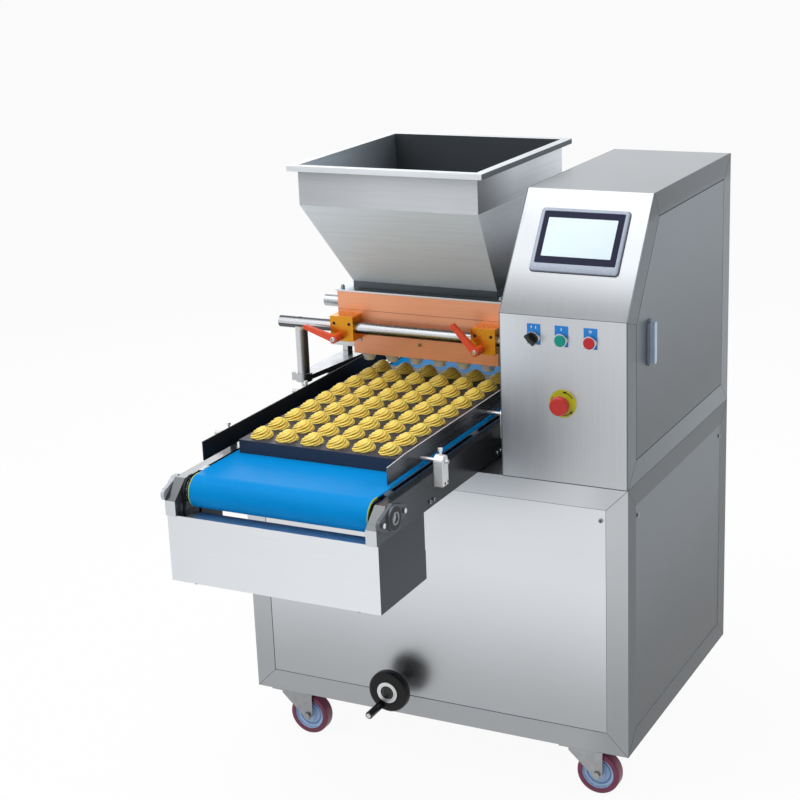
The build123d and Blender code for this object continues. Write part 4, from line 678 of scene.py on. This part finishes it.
def rosette(shape, place, turn, scale, lean):
    """One piped piece: strands that wind up a mound, with a dent left of the tip; u goes from foot to tip."""
    rings = []
    for k in range(RINGS + 1):
        u = TIP * k / RINGS
        reach = DOUGH_R * (1 - u ** 1.8) ** 0.74
        bulge = 0.4 + 0.6 * math.sin(math.pi * u) ** 0.6
        ring = []
        for i in range(ROUND):
            angle = 2 * math.pi * i / ROUND
            coil = angle - 2 * math.pi * TURNS * u ** 0.8 + turn
            crease = abs(math.cos(STRANDS * coil / 2)) ** 0.7
            step = abs(math.cos((angle - 2 * math.pi * STEP_TURNS * u + 2 * turn) / 2)) ** 0.6
            r = reach * (1 - bulge * (CREASE_DEPTH * (1 - crease) + STEP_DEPTH * (1 - step)))
            dent = DENT * bulge * max(0.0, math.cos(angle - DENT_ANGLE)) ** 6 * math.sin(math.pi * u) ** 2
            height = FOOT + DOUGH_H * u ** 0.95 - dent
            p = Vector((r * math.cos(angle), r * math.sin(angle), height)) + lean * u ** 2 * LEAN
            ring.append(place + p * scale / 1000)
        rings.append(ring)
    loft(shape, rings)


def all_dough(shape):
    """Every piece on the tray, each turned, sized and leant a little differently."""
    rng = random.Random(11)
    for place in dough_places():
        lean = Vector((rng.uniform(0.5, 1.1), rng.uniform(-0.3, 0.4), 0))
        rosette(shape, place, rng.uniform(3.3, 4.1), rng.uniform(0.97, 1.0), lean)


dough = piece("dough_rosettes", all_dough, dough_mix, "tray")
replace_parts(dough, "dough")

# Touch screen: bezel with round corners, navy border and display


def slope_loop(edges, radius, out, inset=0.0):
    """Rounded rectangle parallel to the slope, drawn in from its edges by the inset."""
    left_edge, right_edge, low, high = edges
    points = rounded(left_edge + inset, right_edge - inset, low + inset, high - inset, radius)
    return [on_slope(x, y, out) for x, y in points]


def slope_block(edges, *sections):
    """Builder of a flat block on the slope; its sections are (radius, out) or (radius, out, inset)."""
    def build(shape):
        loft(shape, [slope_loop(edges, *section) for section in sections])
    return build


def bezel(shape):
    """Frame of the screen with a bevelled rim, and the case behind it."""
    left_edge, right_edge, low, high = SCREEN_CASE
    window = (left_edge + 8, right_edge - 8.5, low + 18, high - 7.5)
    rim = ((8, 0.0), (8, 3.6), (7.4, 5.2, 0.8), (6.5, 6.0, 2.4))
    loops = [slope_loop(SCREEN_CASE, *section) for section in rim]
    loops += [slope_loop(window, 3.5, 6.0), slope_loop(window, 3.0, 4.2, 0.6)]
    loft(shape, loops, True, False)
    slope_block(SCREEN_CASE, (4, -34.0, 12), (4, 0.0, 12))(shape)


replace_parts(piece("screen_bezel", bezel, bezel_paint, "base"), "hmi_case")

# Painted shadow: a thin dark rim round the screen's case, standing for the shadow line at its edge
bezel_shadow_rim = slope_block(SCREEN_CASE, (9.4, 0.0, -1.4), (9.4, 0.5, -1.4), (8.8, 0.9, -0.8))
piece("screen_bezel_shadow", bezel_shadow_rim, painted_shade_dark, "base")

border = slope_block(SCREEN_BORDER, (3, 3.0), (3, 4.4))
piece("screen_border", border, glass_navy, "base")

screen_face = slope_block(SCREEN_FACE, (1.5, 4.4), (1.5, 4.7), (1.2, 4.8, 0.4))
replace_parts(piece("screen_face", screen_face, display, "base"), "hmi_screen")

# Switches: plain marks on the plates, dished caps and the knob's index line


def front_loop(points, y):
    """Loop parallel to the front, through points given as (x, z)."""
    return [at(x, y, z) for x, z in points]


def flat_mark(shape, points, back=PLATE_FACE, face=MARK_FACE):
    """Thin mark on a face that looks forward."""
    loft(shape, [front_loop(points, back), front_loop(points, face)])


def plate_marks(shape):
    """Bars on two of the switch plates and a ring on the third."""
    low, high, half = SWITCH_Z + 20, SWITCH_Z + 26, 1
    for x in (SELECTOR_X - 5, SELECTOR_X + 5, START_X):
        flat_mark(shape, rounded(x - half, x + half, low, high, 0.6, 3))
    annulus(shape, at(STOP_X, PLATE_FACE, SWITCH_Z + 23), "-y", inner=1.6, outer=3.2, height=0.35)


piece("plate_marks", plate_marks, legend_white, "base")


def round_stop(radius, angle):
    """Place across and up of a point round the emergency stop."""
    return ESTOP_X + radius * math.cos(angle), ESTOP_Z + radius * math.sin(angle)


def stop_arrows(shape):
    """Three turning arrows round the emergency stop."""
    ring, shaft_half, head_half, tip_half, steps, neck = 26, 0.9, 2.6, 0.05, 12, 9
    for middle in (60, 180, 300):
        inner, outer = [], []
        for i in range(steps + 1):
            angle = math.radians(middle - 30 + 60 * i / steps)
            half = shaft_half if i < neck else head_half * (steps - i) / (steps - neck) + tip_half
            inner.append(round_stop(ring - half, angle))
            outer.append(round_stop(ring + half, angle))
        flat_mark(shape, inner + outer[::-1])


piece("stop_arrows", stop_arrows, trim_black, "base")


def knob_line(shape):
    """White index line along the selector's wing, which stands at 45 degrees."""
    c = math.cos(math.radians(45))
    near, far, half = 3.0, 13.0, 0.9
    for a, b in ((near, far), (-far, -near)):
        points = [(a, -half), (b, -half), (b, half), (a, half)]
        turned = [(SELECTOR_X + c * (p + q), SWITCH_Z + c * (q - p)) for p, q in points]
        flat_mark(shape, turned, KNOB_FACE, KNOB_MARK)


piece("selector_line", knob_line, legend_white, "selector")


def turned(x, y, z, outline, count, close_first=True):
    """Builder of a turned piece that points forward from a place in the drawing."""
    def build(shape):
        loft(shape, turn_loops(at(x, y, z), "-y", outline, count), close_first)
    return build


DISH = [(11.2, -0.2), (11.2, 0.15), (10.4, 0.5), (9.4, 0.3), (0.5, -0.1)]
start_cap = turned(START_X, CAP_FACE, SWITCH_Z, DISH, 40, False)
stop_cap = turned(STOP_X, CAP_FACE, SWITCH_Z, DISH, 40, False)
piece("start_cap_rim", start_cap, green, "start_button")
piece("stop_cap_rim", stop_cap, red, "stop_button")


def stop_ring(shape):
    """Moulded grip ring with scallops round the mushroom head."""
    count, scallop, width = 96, 0.25, 4
    loops = []
    for radius, along in ((21.05, 1.0), (21.3, 2.0), (21.3, 6.0), (21.05, 7.0)):
        loop = []
        for i in range(count):
            r = radius - (scallop if (i // width) % 2 else 0.0)
            x, z = round_stop(r, 2 * math.pi * i / count)
            loop.append(at(x, ESTOP_FACE - along, z))
        loops.append(loop)
    loft(shape, loops, False, False)


piece("stop_grip", stop_ring, stop_red, "estop")

# Seams: mitres of the frames, borders of the panels and the split of the head block

OUT_FRONT, OUT_RIGHT, OUT_LEFT, OUT_FOLD = (0, -1, 0), (1, 0, 0), (-1, 0, 0), (0, -0.96, 0.28)
SEAM_RISE, SEAM_TOP = 0.25, 0.4
MITRE, BORDER, JOINT = 1.0, 2.4, 2.2


def seam(shape, a, b, out, width):
    """Low roofed strip from a to b on a face whose normal is out; sizes in millimetres."""
    a, b, out = at(*a), at(*b), Vector(out)
    side = (b - a).normalized().cross(out) * width / 2000
    rise = out * SEAM_RISE / 1000
    loops = [[p - side, p + side, p + side * SEAM_TOP + rise, p - side * SEAM_TOP + rise] for p in (a, b)]
    loft(shape, loops)


def on_front(across, up, back=0):
    """Point on the cabinet's front, across from its right edge."""
    return (-across, back, up)


def on_right(across, up, back=0):
    """Point on the cabinet's right side, across from its front edge."""
    return (-back, across, up)


def corners(width, inset=0):
    """Corners of a cabinet side, drawn in by the inset."""
    low, high = inset, CABINET_H - inset
    return [(inset, low), (inset, high), (width - inset, low), (width - inset, high)]


def panel_border(shape, place, out, width):
    """Line round a panel that is set in between the tubes."""
    a, b, c, d = corners(width, TUBE)
    for start, end in ((a, c), (c, d), (d, b), (b, a)):
        seam(shape, place(*start, PANEL_IN), place(*end, PANEL_IN), out, BORDER)


def cabinet_seams(shape):
    """Mitres of the tube frame, the border of the front panel and the foot of the control box."""
    for place, out, width in ((on_front, OUT_FRONT, CABINET_W), (on_right, OUT_RIGHT, CABINET_D)):
        for outer, inner in zip(corners(width), corners(width, TUBE)):
            seam(shape, place(*outer), place(*inner), out, MITRE)
    panel_border(shape, on_front, OUT_FRONT, CABINET_W)
    seam(shape, on_front(BOX_W, CABINET_H), on_front(0, CABINET_H), OUT_FRONT, JOINT)
    seam(shape, on_right(0, CABINET_H), on_right(CABINET_D, CABINET_H), OUT_RIGHT, JOINT)


piece("cabinet_seams", cabinet_seams, seam_dark, "base", False)


def side_seams(shape):
    """Border of the right panel."""
    panel_border(shape, on_right, OUT_RIGHT, CABINET_D)


piece("side_seams", side_seams, seam_side, "base", False)


def box_seams(shape):
    """Mitres of the control box's side frame and the fold below its slope."""
    profile = [(0, CABINET_H), (CABINET_D, CABINET_H), (CABINET_D, BOX_TOP), (SLOPE_RUN, BOX_TOP),
               (0, SLOPE_FOOT)]
    for outer, inner in zip(profile, FRAME_CORNERS):
        seam(shape, on_right(*outer), on_right(*inner), OUT_RIGHT, MITRE)
    seam(shape, on_front(BOX_W, SLOPE_FOOT), on_front(0, SLOPE_FOOT), OUT_FOLD, 1.2)


piece("box_seams", box_seams, seam_dark, "base", False)


def block_seams(shape):
    """Split of the head block on its front and left side, and its joint with the manifold."""
    near_left, near_right = (HEAD_LEFT, HEAD_FRONT, HEAD_JOINT), (HEAD_RIGHT, HEAD_FRONT, HEAD_JOINT)
    seam(shape, near_left, near_right, OUT_FRONT, 1.6)
    seam(shape, (HEAD_LEFT, HEAD_BACK, HEAD_JOINT), near_left, OUT_LEFT, 1.6)
    seam(shape, (MANIFOLD_LEFT, HEAD_FRONT, MANIFOLD_JOINT), (MANIFOLD_RIGHT, HEAD_FRONT, MANIFOLD_JOINT),
         OUT_FRONT, 1.4)


piece("head_block_seams", block_seams, copper_line, "base", False)

# Small hardware


def bearing_rings(inner, outer, height):
    """Builder of one ring on each of the conveyor's bearings."""
    def build(shape):
        for y in ROLLER_YS:
            for x, axis in rail_sides(BEARING_OUT):
                annulus(shape, at(x, y, ROLLER_Z), axis, inner, outer, height)
    return build


piece("bearing_seals", bearing_rings(14.5, 24.5, 0.8), trim_black, "table")
piece("bearing_races", bearing_rings(10.2, 14.2, 1.4), dark_chrome, "table")


def bearing_bolts(shape):
    """Two bolt heads on each bearing."""
    for y in ROLLER_YS:
        for dy in (-BOLT_APART, BOLT_APART):
            for x, axis in rail_sides(BOLT_OUT):
                cap_screw(shape, at(x, y + dy, ROLLER_Z), axis, radius=5.2, height=1.0)


piece("bearing_bolts", bearing_bolts, post, "table")


def rail_screws(shape):
    """Three pairs of screws on each side plate of the conveyor."""
    for i in range(3):
        for dy in (-RAIL_SCREW_APART, RAIL_SCREW_APART):
            y = RAIL_SCREW_Y + POST_PITCH * i + dy
            for x, axis in rail_sides(0):
                cap_screw(shape, at(x, y, RAIL_SCREW_Z), axis, radius=4.5, height=4)


piece("rail_screws", rail_screws, dark_chrome, "table")


def post_sockets(shape):
    """Painted shade in the sockets of the two screws in each of the guide posts."""
    for i in range(4):
        for dy in (-POST_SCREW_APART, POST_SCREW_APART):
            y = POST_Y + POST_PITCH * i + dy
            for x, axis in rail_sides(POST_SCREW_OUT):
                hex_socket(shape, at(x, y, POST_SCREW_Z), axis, radius=3.6)


piece("post_sockets", post_sockets, painted_shade_dark, "table")


def panel_sockets(shape):
    """Painted shade in the sockets of the upper screws in the front and the right panel."""
    inset, z = TUBE + PANEL_SCREW_IN, CABINET_H - TUBE - PANEL_SCREW_DOWN
    for across in (CABINET_W - inset, inset):
        hex_socket(shape, at(*on_front(across, z, -PANEL_SCREW_H)), "-y", radius=2.8)
    for across in (inset, CABINET_D - inset):
        hex_socket(shape, at(*on_right(across, z, -PANEL_SCREW_H)), "x", radius=2.8)


piece("panel_sockets", panel_sockets, painted_shade_dark, "base")


def lever_screw(x):
    """Builder of the screw in a clamping lever's hub."""
    def build(shape):
        place = at(x - LEVER_SCREW_LEFT, LEVER_SCREW_Y, LEVER_SCREW_Z)
        cap_screw(shape, place, "-y", radius=6.0, height=2.6)
    return build


for side, x in LEVER_X.items():
    piece("lever_screw_" + side, lever_screw(x), chrome, "clamp_lever_" + side)

PIN_END = [(5.6, 0), (5.6, 0.8), (4.8, 1.4), (2.6, 1.4), (2.2, 0.6), (0.4, 0.6)]
grip_cap = turned(GRIP_X, GRIP_END, GRIP_Z, PIN_END, 32)
piece("grip_cap", grip_cap, chrome, "crank_grip")

HUB_CAP = [(15.6, 0), (15.6, 1.0), (14.4, 1.8), (7.2, 1.8), (6.6, 0.8), (0.6, 0.7)]
wheel_hub_cap = turned(WHEEL_X, WHEEL_FACE, WHEEL_Z, HUB_CAP, 36)
piece("handwheel_cap", wheel_hub_cap, black_plastic, "handwheel")

# Lock: surround on the door, and the key cover and ridge on the lever


def door_loop(edges, radius, x, grow):
    """Rounded rectangle parallel to the door, grown past its edges."""
    front_edge, back_edge, low, high = edges
    points = rounded(front_edge - grow, back_edge + grow, low - grow, high + grow, radius + grow)
    return [at(x, y, z) for y, z in points]


def lock_surround(shape):
    """Bevelled rim round the lock, and the sunk face inside it."""
    rim = ((0.1, 1.5), (3.0, 1.5), (5.4, 0.2))
    face = ((5.4, 0.2), (5.4, -1.0), (5.1, -1.6))
    loft(shape, [door_loop(LOCK_BODY, 7, x, grow) for x, grow in rim], True, False)
    loft(shape, [door_loop(LOCK_BODY, 7, x, grow) for x, grow in face], False, True)


piece("lock_surround", lock_surround, lock_base, "door")


def door_block(edges, radius, *sections):
    """Builder of a flat block parallel to the door; its sections are (x, grow)."""
    def build(shape):
        loft(shape, [door_loop(edges, radius, x, grow) for x, grow in sections])
    return build


key_cover = door_block(LOCK_KEY, 3.9, (16.0, 0.0), (16.25, 0.0))
piece("lock_key_cover", key_cover, teal, "lock_handle")

lever_ridge = door_block(LOCK_RIDGE, 5, (15.9, 0.0), (16.25, -0.8))
piece("lock_ridge", lever_ridge, lock_paint, "lock_handle")

# Counter: black window with plain figures


def counter_loop(points, out):
    """Loop parallel to the counter's turned face, through points given as (across, up)."""
    c, s = math.cos(COUNTER_TURN), math.sin(COUNTER_TURN)
    y = -COUNTER_DEPTH - out
    return [at(COUNTER_X + x * c - y * s, COUNTER_Y + x * s + y * c, COUNTER_Z + up) for x, up in points]


def counter_window(shape):
    """Window with a bevelled rim."""
    loops = []
    for grow, out in ((0, 0.0), (0, 0.5), (-0.6, 0.8)):
        across, up = 19 + grow, 11 + grow
        loops.append(counter_loop(rounded(-across, across, -up, up, 2, 3), out))
    loft(shape, loops)


piece("counter_window", counter_window, trim_black, "base")


def counter_figures(shape):
    """Four figures, each a plain ring of four strokes."""
    across, up, stroke = 2.2, 4, 0.8
    strokes = ((-across, stroke - across, -up, up), (across - stroke, across, -up, up),
               (stroke - across, across - stroke, up - stroke, up),
               (stroke - across, across - stroke, -up, stroke - up))
    for middle in (-12, -4, 4, 12):
        for x0, x1, z0, z1 in strokes:
            points = rounded(middle + x0, middle + x1, z0, z1, 0.2, 2)
            loft(shape, [counter_loop(points, out) for out in (0.7, 0.95)])


piece("counter_figures", counter_figures, legend_white, "base")

# Floor, light and camera


def floor_material():
    """White floor that keeps a soft shadow of the machine."""
    glow_share = 0.93
    material = bpy.data.materials.new("studio_floor")
    material.use_nodes = True
    tree = material.node_tree
    tree.nodes.remove(tree.nodes["Principled BSDF"])
    path = node(tree, "ShaderNodeLightPath")
    seen = math_node(tree, "ADD", path.outputs["Is Camera Ray"], path.outputs["Is Glossy Ray"])
    seen = math_node(tree, "ADD", seen, path.outputs["Is Transmission Ray"], True)
    diffuse = node(tree, "ShaderNodeBsdfDiffuse", Color=(0.97, 0.97, 0.97, 1))
    glow = node(tree, "ShaderNodeEmission", Color=(1.0, 1.0, 1.0, 1), Strength=1.0)
    share = math_node(tree, "MULTIPLY", seen, glow_share)
    mix = node(tree, "ShaderNodeMixShader", [("Fac", share), (1, diffuse.outputs[0]), (2, glow.outputs[0])])
    tree.links.new(mix.outputs[0], tree.nodes["Material Output"].inputs["Surface"])
    return material


def floor_mesh():
    """Flat floor that curves up into a backdrop far off on all sides; sizes in metres."""
    flat, cove, top, segments, steps = 25.0, 35.0, math.radians(45), 64, 6
    shape = bmesh.new()
    rings = []
    for i in range(steps + 1):
        angle = top * i / steps
        radius, height = flat + cove * math.sin(angle), cove * (1 - math.cos(angle))
        turns = (2 * math.pi * j / segments for j in range(segments))
        rings.append([shape.verts.new((radius * math.cos(t), radius * math.sin(t), height)) for t in turns])
    shape.faces.new(rings[0])
    for a, b in zip(rings, rings[1:]):
        for j in range(segments):
            shape.faces.new((a[j - 1], a[j], b[j], b[j - 1]))
    mesh = bpy.data.meshes.new("floor")
    shape.to_mesh(mesh)
    shape.free()
    mesh.materials.append(floor_material())
    made = bpy.data.objects.new("floor", mesh)
    scene.collection.objects.link(made)
    return made


floor_mesh()


def studio_world():
    """Soft room: brighter to the left and low down, darker to the right and overhead."""
    world = bpy.data.worlds.new("studio")
    world.use_nodes = True
    tree = world.node_tree
    way = node(tree, "ShaderNodeTexCoord").outputs["Generated"]
    parts = node(tree, "ShaderNodeSeparateXYZ", [("Vector", way)])
    side = node(tree, "ShaderNodeMapRange", [("Value", parts.outputs[X])],
                From_Min=-0.5, From_Max=0.6, To_Min=1.0, To_Max=0.42)
    up = node(tree, "ShaderNodeMapRange", [("Value", parts.outputs[Z])],
              From_Min=0.35, From_Max=0.95, To_Min=0.85, To_Max=0.4)
    level = math_node(tree, "MULTIPLY", side.outputs["Result"], up.outputs["Result"])
    tree.links.new(level, tree.nodes["Background"].inputs["Strength"])
    tree.nodes["Background"].inputs["Color"].default_value = (0.97, 0.985, 1.0, 1)
    scene.world = world


studio_world()


def lamp(name, place, aim, size, power):
    """Rectangular area light at a place, turned towards its aim."""
    data = bpy.data.lights.new(name, "AREA")
    data.shape = "RECTANGLE"
    data.size, data.size_y = size
    data.energy = power
    made = bpy.data.objects.new(name, data)
    made.location = place
    made.rotation_euler = (Vector(aim) - Vector(place)).to_track_quat("-Z", "Y").to_euler()
    scene.collection.objects.link(made)


lamp("key", (-1.7, -2.7, 3.5), (0.1, 0.0, 0.9), (3.2, 3.0), 36.0)
lamp("overhead", (-0.5, -0.7, 3.6), (-0.1, -0.3, 0.8), (3.2, 3.2), 60.0)
lamp("right", (2.4, 1.5, 3.0), (-0.1, 0.0, 1.2), (3.2, 2.4), 42.0)
lamp("back_left", (-2.8, 3.2, 1.9), (0.0, 0.0, 0.8), (2.2, 1.4), 16.0)

# The camera's focal length and the photograph's width in pixels, and the width of the sensor
FOCAL, PHOTO_W, SENSOR = 1751.2549, 800, 36.0


def camera():
    """Camera of the photograph: place, heading, tilt and roll worked out from the machine's edges."""
    heading, tilt, roll = 0.4829062, 0.2939270, -0.0406954
    forward = math.cos(tilt)
    ahead = Vector((-math.sin(heading) * forward, math.cos(heading) * forward, -math.sin(tilt)))
    level = Vector((math.cos(heading), math.sin(heading), 0))
    above = level.cross(ahead)
    across = math.cos(roll) * level + math.sin(roll) * above
    up = -math.sin(roll) * level + math.cos(roll) * above
    data = bpy.data.cameras.new("camera")
    data.sensor_width = SENSOR
    data.sensor_fit = "HORIZONTAL"
    data.lens = FOCAL / PHOTO_W * SENSOR
    data.clip_end = 200
    made = bpy.data.objects.new("camera", data)
    place = Matrix((across, up, -ahead)).transposed().to_4x4()
    place.translation = (1.670905, -3.555317, 2.032864)
    made.matrix_world = place
    scene.collection.objects.link(made)
    scene.camera = made


camera()
scene.view_settings.view_transform = "Standard"
